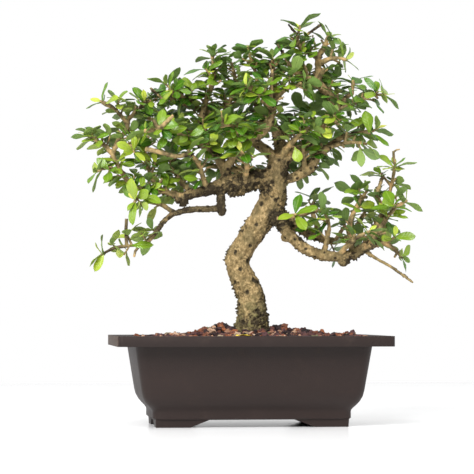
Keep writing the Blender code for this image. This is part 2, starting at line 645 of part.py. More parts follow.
class Growth:
    """Places side twigs and leaves on the limbs, each clear of all that grew before it."""

    def __init__(self, seed):
        self.draw = random.Random(seed)
        self.obstacles = []
        self.sprays = {}
        for name, (bare, route) in LIMBS.items():
            wood, leafy = split_limb(route, bare)
            self.obstacles.append(Obstacle("wood", prism(wood, TWIG_CLEARANCE)))
            if leafy:
                self.sprays[name] = {"axis": leafy, "twigs": [], "leaves": []}
                self.obstacles.append(Obstacle(name, prism(leafy, TWIG_CLEARANCE)))
        for stub in STUBS:
            self.obstacles.append(Obstacle("wood", prism(stub, TWIG_CLEARANCE)))

    def is_clear(self, candidate):
        """True where a shape misses the other sprays, and its own spray beyond its root."""
        for obstacle in self.obstacles:
            if (obstacle.centre - candidate.centre).length > obstacle.reach + candidate.reach:
                continue
            if obstacle.owner != candidate.owner:
                if candidate.whole.overlap(obstacle.whole):
                    return False
            elif candidate.outer.overlap(obstacle.whole):
                return False
            elif obstacle.outer and candidate.whole.overlap(obstacle.outer):
                return False
        return True

    def grow_twigs(self, name):
        """Short side twigs along a spray's axis, turned by the golden angle, rising a little."""
        spray = self.sprays[name]
        axis = [Vector(point) for point in spray["axis"]]
        lengths = [(b - a).to_3d().length for a, b in zip(axis, axis[1:])]
        travelled = ROSETTE_SPACING * self.draw.uniform(0.35, 0.6)
        turn = self.draw.uniform(0, math.tau)
        while travelled < sum(lengths) - 0.45 * ROSETTE_SPACING:
            segment = 0
            rest = travelled
            while rest > lengths[segment]:
                rest -= lengths[segment]
                segment += 1
            start = axis[segment].lerp(axis[segment + 1], rest / lengths[segment])
            ahead = (axis[segment + 1] - axis[segment]).to_3d().normalized()
            side, up = around(ahead)
            for attempt in range(LEAF_TRIES):
                angle = turn + self.draw.uniform(-0.5, 0.5) * (1 + attempt * 0.4)
                outward = side * math.cos(angle) + up * math.sin(angle)
                heading = (outward + TWIG_LEAN * ahead + Vector((0, 0, TWIG_RISE))).normalized()
                length = self.draw.uniform(*TWIG_LENGTH) + start[3]
                end = start.to_3d() + heading * length
                twig = [(*start.to_3d(), TWIG_RADIUS), (*end, TWIG_TIP_RADIUS)]
                clear_from = start.to_3d() + heading * (start[3] + TWIG_OUTER_FROM)
                beyond = [(*clear_from, TWIG_RADIUS), twig[1]]
                candidate = Obstacle(
                    name, prism(twig, TWIG_CLEARANCE), prism(beyond, TWIG_CLEARANCE))
                if self.is_clear(candidate):
                    candidate.outer = None
                    spray["twigs"].append(twig)
                    self.obstacles.append(candidate)
                    break
            turn += GOLDEN_ANGLE
            travelled += ROSETTE_SPACING * self.draw.uniform(0.85, 1.15)

    def rosettes(self, name):
        """The leafy tips of a spray: where each twig ends, and the end of the axis itself."""
        spray = self.sprays[name]
        tips = [(Vector(twig[0][:3]), Vector(twig[1][:3])) for twig in spray["twigs"]]
        before, last = spray["axis"][-2:]
        tips.append((Vector(before[:3]), Vector(last[:3])))
        return tips

    def grow_rosette(self, name, before, end):
        """Leaves round a tip, staggered along it, spreading and arching over."""
        spray = self.sprays[name]
        axis = (end - before).normalized()
        reach = (end - before).length
        crown = (axis + Vector((0, 0, ROSETTE_RISE))).normalized()
        side, up = around(crown)
        turn = self.draw.uniform(0, math.tau)
        for number in range(LEAVES_PER_ROSETTE):
            back = min(LEAF_FIRST_BACK + LEAF_STAGGER * number, reach - TWIG_OUTER_FROM)
            root = end - axis * back
            for attempt in range(LEAF_TRIES):
                angle = turn + self.draw.uniform(-0.3, 0.3) * (1 + 0.5 * attempt)
                spread = math.radians(self.draw.uniform(*LEAF_SPREAD) + LEAF_SPREAD_STEP * number)
                radial = side * math.cos(angle) + up * math.sin(angle)
                along = crown * math.cos(spread) + radial * math.sin(spread)
                normal = crown * math.sin(spread) - radial * math.cos(spread)
                roll = Matrix.Rotation(self.draw.uniform(-LEAF_ROLL, LEAF_ROLL), 3, along)
                length = self.draw.uniform(*LEAF_LENGTH) * (1.0 - SHRINK_PER_TRY * attempt)
                leaf = Leaf(
                    root, along, roll @ normal, length,
                    length * self.draw.uniform(*LEAF_WIDTH_SHARE),
                    self.draw.uniform(*LEAF_FOLD), self.draw.uniform(*LEAF_DROOP))
                candidate = Obstacle(
                    name, leaf.shape(LEAF_CLEARANCE), leaf.shape(LEAF_CLEARANCE, LEAF_CLEAR_FROM))
                if self.is_clear(candidate):
                    spray["leaves"].append(leaf)
                    self.obstacles.append(candidate)
                    break
            turn += GOLDEN_ANGLE

    def grow(self):
        """Twigs first, then the rosettes of all sprays in a mixed order."""
        for name in self.sprays:
            self.grow_twigs(name)
        tips = [(name, *tip) for name in self.sprays for tip in self.rosettes(name)]
        self.draw.shuffle(tips)
        for name, before, end in tips:
            self.grow_rosette(name, before, end)


def make_wood(collection):
    """The trunk with every limb up to its leafy part, its knots and its pruned stubs."""
    meshes = []
    for name, (bare, route) in LIMBS.items():
        wood = split_limb(route, bare)[0]
        thickest = max(point[3] for point in wood)
        resolution = sum(thickest > limit for limit in ROUNDER_FROM)
        meshes.append(tube_mesh(name, wood, resolution))
    for stub in STUBS:
        meshes.append(tube_mesh("stub", stub, 0))
    for x, y, z, radius in KNOTS:
        form = bmesh.new()
        bmesh.ops.create_icosphere(form, subdivisions=1, radius=radius * MM)
        bmesh.ops.translate(form, vec=(x * MM, y * MM, z * MM), verts=form.verts)
        knot = bpy.data.meshes.new("knot")
        form.to_mesh(knot)
        form.free()
        meshes.append(knot)
    return united("trunk_and_limbs", meshes, collection)


def make_spray(name, spray, collection):
    """One limb's leafy end: its axis, side twigs and leaves fused."""
    meshes = [tube_mesh("axis", spray["axis"], 0)]
    meshes += [tube_mesh("twig", twig, 0) for twig in spray["twigs"]]
    meshes += [mesh_from("leaf", *leaf.shape()) for leaf in spray["leaves"]]
    return united("spray_" + name, meshes, collection, "MANIFOLD")


def make_fallen_leaf(gravel, collection):
    """A shed leaf, lowered on to the chips until it almost touches them."""
    x, y = FALLEN_LEAF_PLACE
    form = bmesh.new()
    form.from_mesh(gravel.data)
    chips = BVHTree.FromBMesh(form)
    form.free()
    root = Vector((x, y, POT_HEIGHT + 2 * CUTTER_SPARE))
    along = Vector((math.cos(FALLEN_LEAF_TURN), math.sin(FALLEN_LEAF_TURN), 0.0))
    leaf = Leaf(
        root, along, Vector((0, 0, 1)), *FALLEN_LEAF_SIZE, FALLEN_LEAF_FOLD, FALLEN_LEAF_DROOP)
    touches = False
    while not touches:
        leaf.root.z -= GAP / 2
        points, faces = leaf.shape(GAP / 2)
        touches = chips.overlap(BVHTree.FromPolygons([point * MM for point in points], faces))
    leaf.root.z += GAP
    return add_object("fallen_leaf", mesh_from("fallen_leaf", *leaf.shape()), collection)


def centre_over_floor(pieces):
    """Shift all pieces so that the origin is under the middle of the whole object."""
    points = [point.co for piece in pieces for point in piece.data.vertices]
    shift = [-(min(p[axis] for p in points) + max(p[axis] for p in points)) / 2 for axis in range(2)]
    for piece in pieces:
        piece.data.transform(Matrix.Translation((shift[0], shift[1], 0.0)))


def main():
    for leftover in list(bpy.data.objects):
        bpy.data.objects.remove(leftover)
    collection = bpy.data.collections.new("fukien_tea_bonsai")
    bpy.context.scene.collection.children.link(collection)
    growth = Growth(GROWTH_SEED)
    growth.grow()
    pieces = {
        "pot": [make_pot(collection)],
        "soil": [make_soil(collection)],
        "gravel": [make_gravel(collection)],
        "wood": [make_wood(collection)],
        "leaf": [make_spray(name, spray, collection) for name, spray in growth.sprays.items()],
    }
    pieces["fallen_leaf"] = [make_fallen_leaf(pieces["gravel"][0], collection)]
    for kind, group in pieces.items():
        for piece in group:
            piece.data.materials.clear()
            piece.data.materials.append(make_material(kind))
    centre_over_floor([piece for group in pieces.values() for piece in group])


main()
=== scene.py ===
"""The looks of a fukien tea bonsai in its training pot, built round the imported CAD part."""
import math
import random

import bmesh
import bpy
import numpy as np
from mathutils import Matrix, Vector, noise
from mathutils.bvhtree import BVHTree
from mathutils.kdtree import KDTree


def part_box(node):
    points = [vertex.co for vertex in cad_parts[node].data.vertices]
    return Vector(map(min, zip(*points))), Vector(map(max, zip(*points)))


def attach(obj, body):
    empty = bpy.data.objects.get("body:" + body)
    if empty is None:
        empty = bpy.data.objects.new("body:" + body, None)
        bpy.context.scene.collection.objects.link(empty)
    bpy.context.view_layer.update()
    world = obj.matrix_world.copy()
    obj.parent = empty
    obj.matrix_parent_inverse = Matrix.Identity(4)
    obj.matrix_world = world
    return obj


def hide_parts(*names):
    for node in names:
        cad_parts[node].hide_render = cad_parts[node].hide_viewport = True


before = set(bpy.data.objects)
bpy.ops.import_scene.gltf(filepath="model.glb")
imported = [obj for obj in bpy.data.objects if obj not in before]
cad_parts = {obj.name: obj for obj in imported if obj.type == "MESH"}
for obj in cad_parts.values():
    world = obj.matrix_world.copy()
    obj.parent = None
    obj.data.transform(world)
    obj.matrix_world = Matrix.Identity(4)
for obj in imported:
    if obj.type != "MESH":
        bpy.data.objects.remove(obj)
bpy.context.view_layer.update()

# The view: the camera stood about 2 m away at the height of the pot, a little to the left.
# Places are measured in millimetres from the middle of the pot's soles, as in the CAD.
MM = 0.001
PICTURE_WIDTH = 474
FOCAL_LENGTH_IN_PIXELS = 2147
CAMERA_AZIMUTH = math.radians(-6.5)
CAMERA_PITCH = math.radians(2.05)
CAMERA_DISTANCE = 2.0
CAMERA_SIDESTEP = -0.0092
CAMERA_HEIGHT = 0.103

pot_low, pot_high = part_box("pot")
pot_middle = Vector(((pot_low.x + pot_high.x) / 2, (pot_low.y + pot_high.y) / 2, 0.0))
to_camera = Vector((math.sin(CAMERA_AZIMUTH), -math.cos(CAMERA_AZIMUTH), 0.0))
to_right = Vector((math.cos(CAMERA_AZIMUTH), math.sin(CAMERA_AZIMUTH), 0.0))
looking = Vector((0, 0, math.sin(CAMERA_PITCH))) - to_camera * math.cos(CAMERA_PITCH)


def add_object(name, data):
    """A new object in the scene, at the origin and unturned."""
    made = bpy.data.objects.new(name, data)
    bpy.context.scene.collection.objects.link(made)
    return made


camera = add_object("camera", bpy.data.cameras.new("camera"))
camera.data.lens = camera.data.sensor_width * FOCAL_LENGTH_IN_PIXELS / PICTURE_WIDTH
camera.location = (
    pot_middle + to_camera * CAMERA_DISTANCE + to_right * CAMERA_SIDESTEP
    + Vector((0, 0, CAMERA_HEIGHT)))
camera.rotation_euler = looking.to_track_quat("-Z", "Y").to_euler()
bpy.context.scene.camera = camera
bpy.context.scene.view_settings.view_transform = "Standard"


class Tone:
    """A shader value that + - * and ** work on, each of them as a Math node."""

    def __init__(self, finish, output):
        self.finish = finish
        self.output = output

    def reckon(self, operation, first, second):
        return self.finish.node("ShaderNodeMath", {"operation": operation}, {0: first, 1: second})

    def __add__(self, other):
        return self.reckon("ADD", self, other)

    def __sub__(self, other):
        return self.reckon("SUBTRACT", self, other)

    def __rsub__(self, other):
        return self.reckon("SUBTRACT", other, self)

    def __mul__(self, other):
        return self.reckon("MULTIPLY", self, other)

    def __pow__(self, other):
        return self.reckon("POWER", self, other)

    __radd__ = __add__
    __rmul__ = __mul__


class Finish:
    """A material with its Principled shader; its methods add the nodes that feed it."""

    def __init__(self, name, roughness, specular):
        self.material = bpy.data.materials.new(name)
        self.material.use_nodes = True
        self.tree = self.material.node_tree
        self.shader = self.tree.nodes["Principled BSDF"]
        self.feed(self.shader.inputs["Roughness"], roughness)
        self.feed(self.shader.inputs["Specular IOR Level"], specular)
        self.places = self.node("ShaderNodeTexCoord", {}, {}, "Object")

    def feed(self, socket, value):
        """Link a tone to a socket, or set a plain value there."""
        if isinstance(value, Tone):
            self.tree.links.new(value.output, socket)
        elif isinstance(value, tuple) and len(value) == 3 and len(socket.default_value) == 4:
            socket.default_value = (*value, 1.0)
        else:
            socket.default_value = value

    def node(self, kind, settings, inputs, output=0):
        """Any node: its settings first, then the values or links of its sockets."""
        made = self.tree.nodes.new(kind)
        for setting, value in settings.items():
            if setting == "stops":
                self.set_stops(made.color_ramp, value)
            else:
                setattr(made, setting, value)
        for socket, value in inputs.items():
            self.feed(made.inputs[socket], value)
        return Tone(self, made.outputs[output])

    def set_stops(self, ramp, stops):
        while len(ramp.elements) < len(stops):
            ramp.elements.new(0.5)
        for element, (place, colour) in zip(ramp.elements, stops):
            element.position = place
            element.color = (*colour, 1.0)

    def mottle(self, per_metre, detail=3.0, roughness=0.55, places=None):
        """Cloudy noise between 0 and 1, at a number of clouds a metre."""
        return self.node("ShaderNodeTexNoise", {}, {
            "Vector": places or self.places, "Scale": per_metre, "Detail": detail,
            "Roughness": roughness}, "Fac")

    def stretched(self, *scale):
        """The places scaled along x, y and z, for mottles that are drawn out or flattened."""
        return self.node(
            "ShaderNodeVectorMath", {"operation": "MULTIPLY"}, {0: self.places, 1: scale})

    def between(self, tone, low, high):
        """0 below low, 1 above high and smooth between."""
        return self.node("ShaderNodeMapRange", {"interpolation_type": "SMOOTHSTEP"}, {
            "Value": tone, "From Min": low, "From Max": high})

    def blend(self, share, first, second):
        """A colour mixed from two."""
        made = self.tree.nodes.new("ShaderNodeMix")
        made.data_type = "RGBA"
        self.feed(made.inputs[0], share)
        self.feed(made.inputs[6], first)
        self.feed(made.inputs[7], second)
        return Tone(self, made.outputs[2])

    def ramp(self, tone, stops):
        return self.node("ShaderNodeValToRGB", {"stops": stops}, {"Fac": tone}, "Color")

    def attribute(self, name, output="Fac"):
        return self.node("ShaderNodeAttribute", {"attribute_name": name}, {}, output)

    def split(self, vector):
        """The three numbers of a vector."""
        made = self.node("ShaderNodeSeparateXYZ", {}, {0: vector})
        return [Tone(self, output) for output in made.output.node.outputs]

    def colour(self, value):
        self.feed(self.shader.inputs["Base Color"], value)

    def dullness(self, value):
        self.feed(self.shader.inputs["Roughness"], value)

    def relief(self, height, depth):
        """Bump from a height between 0 and 1 that stands for a depth in metres."""
        bump = self.node("ShaderNodeBump", {}, {"Height": height, "Distance": depth})
        self.feed(self.shader.inputs["Normal"], bump)


# The stage: a plain pale floor under a white sky, with a large soft lamp at the front left and
# two weaker ones. The sky that the camera sees is a little brighter than the sky that lights.
FLOOR_SIZE = 2.4
FLOOR_WHITES = ((0.985, 0.988, 0.995), (0.995, 0.995, 0.998))
SKY_WHITE = (1.0, 1.0, 1.0, 1.0)
SKY_SEEN = 1.0
SKY_LIGHT = 0.72
LAMP_AIM = (0, 0, 0.2)
# Name, place in metres, size in metres and power in watts
LAMPS = (
    ("key", (-0.9, -1.5, 1.3), 1.1, 76.0),
    ("fill", (1.5, -0.6, 1.4), 1.0, 30.0),
    ("side", (-1.8, 0.3, 0.7), 1.0, 8.0))

bpy.ops.mesh.primitive_plane_add(size=FLOOR_SIZE)
floor = bpy.context.object
floor.name = "floor"
floor_finish = Finish("pale_floor", roughness=0.16, specular=0.35)
floor_finish.colour(floor_finish.blend(floor_finish.mottle(6.0), *FLOOR_WHITES))
floor.data.materials.append(floor_finish.material)

sky = bpy.data.worlds.new("white_sky")
bpy.context.scene.world = sky
sky.use_nodes = True
sky_light = sky.node_tree.nodes["Background"]
sky_light.inputs["Color"].default_value = SKY_WHITE
sky_path = sky.node_tree.nodes.new("ShaderNodeLightPath")
sky_strength = sky.node_tree.nodes.new("ShaderNodeMapRange")
sky_strength.inputs["To Min"].default_value = SKY_LIGHT
sky_strength.inputs["To Max"].default_value = SKY_SEEN
sky.node_tree.links.new(sky_path.outputs["Is Camera Ray"], sky_strength.inputs["Value"])
sky.node_tree.links.new(sky_strength.outputs["Result"], sky_light.inputs["Strength"])

for lamp_name, place, size, power in LAMPS:
    lamp = add_object(lamp_name, bpy.data.lights.new(lamp_name, "AREA"))
    lamp.data.size = size
    lamp.data.energy = power
    lamp.location = place
    aim = Vector(LAMP_AIM) - lamp.location
    lamp.rotation_euler = aim.to_track_quat("-Z", "Y").to_euler()


# The pot: a training tray moulded in one piece from dark brown plastic. It has a broad flat lip,
# sides that draw in to a foot ring and four corner feet, and two drain holes in its floor.
LENGTH_OVER_WIDTH = 42.0
POT_HEIGHT = 83.0
LIP_HEIGHT = 9.4
FOOT_HEIGHT = 7.0
WALL = 4.0
FLOOR_TOP = 12.5
KNEE_HEIGHT = 28.0
BODY_TOP_HALF = 108.0
BODY_KNEE_HALF = 100.5
BASE_HALF = 91.0
BASE_CHAMFER = 1.2
LIP_HALF_LENGTH = 125.0
LIP_CORNER = 5.0
BODY_CORNER = 9.0
CORNER_SEGMENTS = 6
SIDE_SLOPE = (BODY_TOP_HALF - BODY_KNEE_HALF) / (POT_HEIGHT - LIP_HEIGHT - KNEE_HEIGHT)
INNER_CORNER = BODY_CORNER - WALL
RIM_HALF = BODY_KNEE_HALF - WALL + SIDE_SLOPE * (POT_HEIGHT - KNEE_HEIGHT)
# Rounded rectangles as (z, half length, corner radius), up the outside and down the inside
POT_LEVELS = (
    (FOOT_HEIGHT, BASE_HALF - BASE_CHAMFER, BODY_CORNER),
    (FOOT_HEIGHT + BASE_CHAMFER, BASE_HALF, BODY_CORNER),
    (14.0, BASE_HALF, BODY_CORNER), (15.6, BASE_HALF + 0.4, BODY_CORNER),
    (17.6, 93.0, BODY_CORNER), (20.0, 95.4, BODY_CORNER), (23.5, 98.2, BODY_CORNER),
    (KNEE_HEIGHT, BODY_KNEE_HALF, BODY_CORNER), (33.0, BODY_KNEE_HALF + 1.2, BODY_CORNER),
    (POT_HEIGHT - LIP_HEIGHT, BODY_TOP_HALF, BODY_CORNER),
    (POT_HEIGHT - LIP_HEIGHT, LIP_HALF_LENGTH, LIP_CORNER),
    (POT_HEIGHT, LIP_HALF_LENGTH, LIP_CORNER),
    (POT_HEIGHT, RIM_HALF, INNER_CORNER),
    (KNEE_HEIGHT, BODY_KNEE_HALF - WALL, INNER_CORNER),
    (KNEE_HEIGHT - 8.0, BODY_KNEE_HALF - WALL - 5.5, INNER_CORNER),
    (FLOOR_TOP, BASE_HALF - WALL - 2.0, INNER_CORNER))
POT_EDGE = 0.7
EDGE_SEGMENTS = 3
SHARP_ANGLE = math.radians(32)
POT_SMOOTH_ANGLE = math.radians(35)
FOOT_OUTER_HALF = 88.0
FOOT_SOLE = (31.0, 24.0)
FOOT_SHOULDER = (24.0, 15.0)
FOOT_NEAREST = 2.0
FOOT_SUNK = 2.5
FOOT_DRAFT = 0.6
DRAIN_RADIUS = 9.0
DRAIN_SIDES = 32
DRAIN_SPACING = 92.0
UNDER_LIP_SHADE = 14.0
END_FACE_DEPTH = 1.4


def at(x, y, z):
    """A place in metres from millimetres measured from the middle of the pot's soles."""
    return pot_middle + Vector((x, y, z)) * MM


def select_only(*pieces):
    """Select these pieces alone, the first one active."""
    bpy.ops.object.select_all(action="DESELECT")
    for piece in pieces:
        piece.select_set(True)
    bpy.context.view_layer.objects.active = pieces[0]


def settle(piece):
    """Apply a piece's place, turn and size to its mesh."""
    select_only(piece)
    bpy.ops.object.transform_apply(location=True, rotation=True, scale=True)


def edit(*steps):
    """Run edit-mode steps on the active piece, each on its whole mesh."""
    bpy.ops.object.mode_set(mode="EDIT")
    for step, settings in steps:
        bpy.ops.mesh.select_all(action="SELECT")
        step(**settings)
    bpy.ops.object.mode_set(mode="OBJECT")


FACE_OUTWARD = (bpy.ops.mesh.normals_make_consistent, {"inside": False})


def modify(piece, kind, **settings):
    """Add a modifier and apply it."""
    select_only(piece)
    modifier = piece.modifiers.new(kind.lower(), kind)
    for setting, value in settings.items():
        setattr(modifier, setting, value)
    bpy.ops.object.modifier_apply(modifier=modifier.name)


def fuse(piece, other, operation="UNION"):
    """Boolean another piece into this one and remove it."""
    modify(piece, "BOOLEAN", operation=operation, object=other, solver="EXACT")
    bpy.data.objects.remove(other)


def outline_point(point, old, new):
    """Move a point from one rounded rectangle round the pot's middle to another."""
    (old_half, old_corner), (new_half, new_corner) = old, new
    moved = []
    for axis, narrower in ((0, 0.0), (1, LENGTH_OVER_WIDTH)):
        away = (point[axis] - pot_middle[axis]) / MM
        side = math.copysign(1.0, away)
        share = (away - side * (old_half - narrower - old_corner)) / old_corner
        moved.append(side * (new_half - narrower - new_corner) + share * new_corner)
    return at(moved[0], moved[1], 0.0)


def extrude_levels(levels):
    """Extrude the selected face through rounded rectangles given as (z, half length, corner)."""
    for before, after in zip(levels, levels[1:]):
        bpy.ops.mesh.extrude_region_move()
        form = bmesh.from_edit_mesh(bpy.context.object.data)
        for point in form.verts:
            if point.select:
                moved = outline_point(point.co, before[1:], after[1:])
                point.co = (moved.x, moved.y, after[0] * MM)
        bmesh.update_edit_mesh(bpy.context.object.data)


def moulded_tray():
    """The tray's walls, lip and floor, extruded level by level from its rounded base."""
    base, base_half, corner = POT_LEVELS[0]
    bpy.ops.object.select_all(action="DESELECT")
    bpy.ops.mesh.primitive_plane_add(size=1.0, location=at(0, 0, base))
    tray = bpy.context.object
    tray.scale = (2 * base_half * MM, 2 * (base_half - LENGTH_OVER_WIDTH) * MM, 1.0)
    settle(tray)
    edit((bpy.ops.mesh.bevel, {
        "offset": corner * MM, "segments": CORNER_SEGMENTS, "affect": "VERTICES"}),
        (extrude_levels, {"levels": POT_LEVELS}), FACE_OUTWARD)
    return tray


def corner_foot(side_x, side_y):
    """A foot block whose two inner sides slope up to the tray's underside."""
    bpy.ops.mesh.primitive_cube_add(size=1.0)
    foot = bpy.context.object
    outer = (FOOT_OUTER_HALF, FOOT_OUTER_HALF - LENGTH_OVER_WIDTH)
    for point in foot.data.vertices:
        raised = point.co.z > 0
        place = []
        for axis in range(2):
            if point.co[axis] > 0:
                place.append(outer[axis] + (FOOT_DRAFT if raised else 0.0))
            else:
                shoulder = FOOT_SHOULDER[axis] if raised else 0.0
                place.append(max(outer[axis] - FOOT_SOLE[axis] - shoulder, FOOT_NEAREST))
        height = FOOT_HEIGHT + FOOT_SUNK if raised else 0.0
        point.co = at(side_x * place[0], side_y * place[1], height)
    edit(FACE_OUTWARD)
    return foot


def show(piece, finish, slot, *nodes):
    """Give a finished piece its material, if it has one, and its body, and hide the CAD nodes it
    stands for. The slot is not used.
    """
    if finish:
        piece.data.materials.clear()
        piece.data.materials.append(finish.material)
    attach(piece, "root")
    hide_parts(*nodes)


pot = moulded_tray()
pot.name = "moulded_pot"
for side_x in (-1, 1):
    for side_y in (-1, 1):
        fuse(pot, corner_foot(side_x, side_y))
for side_x in (-1, 1):
    bpy.ops.mesh.primitive_cylinder_add(
        vertices=DRAIN_SIDES, radius=DRAIN_RADIUS * MM, depth=4 * FLOOR_TOP * MM,
        location=at(side_x * DRAIN_SPACING / 2, 0, 0))
    fuse(pot, bpy.context.object, "DIFFERENCE")
modify(pot, "BEVEL", width=POT_EDGE * MM, segments=EDGE_SEGMENTS, limit_method="ANGLE",
       angle_limit=SHARP_ANGLE, use_clamp_overlap=True)
select_only(pot)
bpy.ops.object.shade_smooth_by_angle(angle=POT_SMOOTH_ANGLE)

plastic = Finish("dark_brown_plastic", roughness=0.5, specular=0.20)
streaks = plastic.mottle(9.0, detail=4.0, places=plastic.stretched(1.0, 1.0, 5.0))
dust = plastic.between(plastic.mottle(55.0, detail=6.0, roughness=0.7), 0.52, 0.80)
sideways, _, height = plastic.split(plastic.places)
lip_bottom = POT_HEIGHT - LIP_HEIGHT
on_lip = plastic.between(height, lip_bottom * MM, POT_HEIGHT * MM)
under_lip = plastic.between(height, (lip_bottom - UNDER_LIP_SHADE) * MM, lip_bottom * MM)
# Painted light: the lip's left end is lighter, as if lit from the left
painted_light_left_end = plastic.between(
    -1.0 * sideways, (LIP_HALF_LENGTH - END_FACE_DEPTH) * MM - pot_middle.x,
    LIP_HALF_LENGTH * MM - pot_middle.x)
brown = plastic.blend(streaks, (0.0120, 0.0065, 0.0052), (0.0190, 0.0112, 0.0095))
# Painted shade: the body darkens just under the lip, as the lip shades it
shaded = plastic.blend((1.0 - on_lip) * under_lip * 0.6, brown, (0.010, 0.006, 0.005))
dusty = plastic.blend(dust * (0.08 + 0.04 * on_lip), shaded, (0.12, 0.085, 0.065))
# Fine mottling of the painted light on the left end
left_end_light_mottle = plastic.between(plastic.mottle(600.0, detail=4.0), 0.36, 0.62)
plastic.colour(plastic.blend(painted_light_left_end * (0.15 + 0.3 * left_end_light_mottle), dusty, (0.110, 0.070, 0.045)))
plastic.dullness(0.48 + 0.14 * streaks + 0.2 * dust)
plastic.relief(plastic.mottle(900.0, detail=2.0), depth=0.00012)
show(pot, plastic, "pot", "pot")


# The soil: the dark root ball that fills the tray under the gravel. Its CAD solid stays, because
# only specks of it show between the chips.
earth = Finish("dark_earth", roughness=0.95, specular=0.2)
earth.colour(earth.blend(
    earth.mottle(260.0, detail=6.0, roughness=0.7), (0.018, 0.011, 0.008), (0.075, 0.046, 0.030)))
earth.relief(earth.mottle(420.0, detail=6.0, roughness=0.7), depth=0.0015)
for material_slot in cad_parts["soil"].material_slots:
    material_slot.material = earth.material


# The lava gravel: porous volcanic chips from rust orange to dark brown, poured loose on the soil
# and heaped a little against the trunk. Crumbs of them fill the gaps: a near-black slab that is
# also painted shade between the chips.
TRUNK_BASE = (4.8, 0.0)
TRUNK_HOLE_RADIUS = 15.5
SOIL_TOP = 74.0
GRAVEL_EDGE_TOP = 78.3
GRAVEL_MOUND = 7.4
MOUND_REACH = (100.0, 62.0)
MOUND_FALL = 2.2
CHIP_KINDS = 7
CHIP_FACES_KEPT = 0.55
CHIPS = 1500
CHIP_RADIUS = (1.9, 4.3)
LARGE_CHIPS = 80
LARGE_CHIP_RADIUS = (3.8, 5.6)
CHIP_ROUGHNESS = 0.36
CHIP_WIDTH_SHARE = (0.7, 1.0)
CHIP_HEIGHT_SHARE = (0.6, 0.9)
CHIP_RISE = (-1.6, 1.4)
GRAVEL_HALF_LENGTH = 103.5
BED_CUTS = 38
BED_SPARE = 0.6
BED_ABOVE_SOIL = 0.4
BED_BELOW_CHIPS = 1.8
BED_BUMP = 1.1
BED_BUMPS_PER_MM = 0.3
TRUNK_HOLE_SIDES = 40
TRUNK_HOLE_DEPTH = 60.0
TRUNK_HOLE_RAISED = 5.0
FALLEN_LEAF_PLACE = (-16.0, -57.0)
FALLEN_LEAF_TURN = math.radians(20.0)
FALLEN_LEAF_SIZE = (15.0, 8.5)
FALLEN_LEAF_LIFT = 1.1
# The chips near the leaf's middle stay low enough to carry it
FALLEN_LEAF_MIDDLE = 7.0
FALLEN_LEAF_CLEARING = 12.0
CARRYING_CHIP_REACH = 1.25
# Small heaps as (x, y, spread, rise)
HEAPS = ((-23.5, -8.0, 9.0, 9.0), (-42.0, -20.0, 7.0, 4.5), (31.0, -6.0, 12.0, 4.0),
         (58.0, -12.0, 11.0, 3.0), (88.0, -20.0, 9.0, 3.0), (-82.0, -26.0, 9.0, 2.5))

gravel_draw = random.Random(21)
fallen_low, fallen_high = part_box("fallen_leaf")


def mound_height(x, y):
    """Height of the gravel's surface, highest at the trunk, with a few small heaps."""
    away = math.hypot((x - TRUNK_BASE[0]) / MOUND_REACH[0], (y - TRUNK_BASE[1]) / MOUND_REACH[1])
    heap = sum(
        rise * math.exp(-((x - heap_x) ** 2 + (y - heap_y) ** 2) / (2 * spread * spread))
        for heap_x, heap_y, spread, rise in HEAPS)
    return GRAVEL_EDGE_TOP + GRAVEL_MOUND * math.exp(-MOUND_FALL * away * away) + heap


def taken_apart(piece):
    """The points and faces of a piece that is modelled once and copied, which is then removed."""
    points = np.array([point.co for point in piece.data.vertices])
    faces = [tuple(face.vertices) for face in piece.data.polygons]
    bpy.data.objects.remove(piece)
    return points, faces


def chip_kind(number):
    """One angular chip of unit size as points and faces, from a crumpled ball."""
    bpy.ops.object.select_all(action="DESELECT")
    bpy.ops.mesh.primitive_ico_sphere_add(subdivisions=2, radius=1.0)
    chip = bpy.context.object
    edit((bpy.ops.transform.vertex_random, {
        "offset": CHIP_ROUGHNESS, "uniform": 0.6, "normal": 0.4, "seed": number}))
    modify(chip, "DECIMATE", ratio=CHIP_FACES_KEPT)
    return taken_apart(chip)


def chip_place():
    """A random place on the gravel outside the trunk."""
    half_y = GRAVEL_HALF_LENGTH - LENGTH_OVER_WIDTH
    while True:
        x = gravel_draw.uniform(-GRAVEL_HALF_LENGTH, GRAVEL_HALF_LENGTH)
        y = gravel_draw.uniform(-half_y, half_y)
        if math.hypot(x - TRUNK_BASE[0], y - TRUNK_BASE[1]) > TRUNK_HOLE_RADIUS:
            return x, y


def joined_mesh(name, groups):
    """One mesh from groups of (points in metres, faces)."""
    points = np.concatenate([group[0] for group in groups])
    faces = []
    start = 0
    for group_points, group_faces in groups:
        faces += [tuple(start + corner for corner in face) for face in group_faces]
        start += len(group_points)
    mesh = bpy.data.meshes.new(name)
    mesh.from_pydata([tuple(point) for point in points], [], faces)
    mesh.validate()
    return mesh


def write_attribute(mesh, name, kind, domain, values):
    """Store one number or one vector for each point or face."""
    layer = mesh.attributes.new(name, kind, domain)
    key = "vector" if kind == "FLOAT_VECTOR" else "value"
    layer.data.foreach_set(key, np.asarray(values, np.float32).ravel())


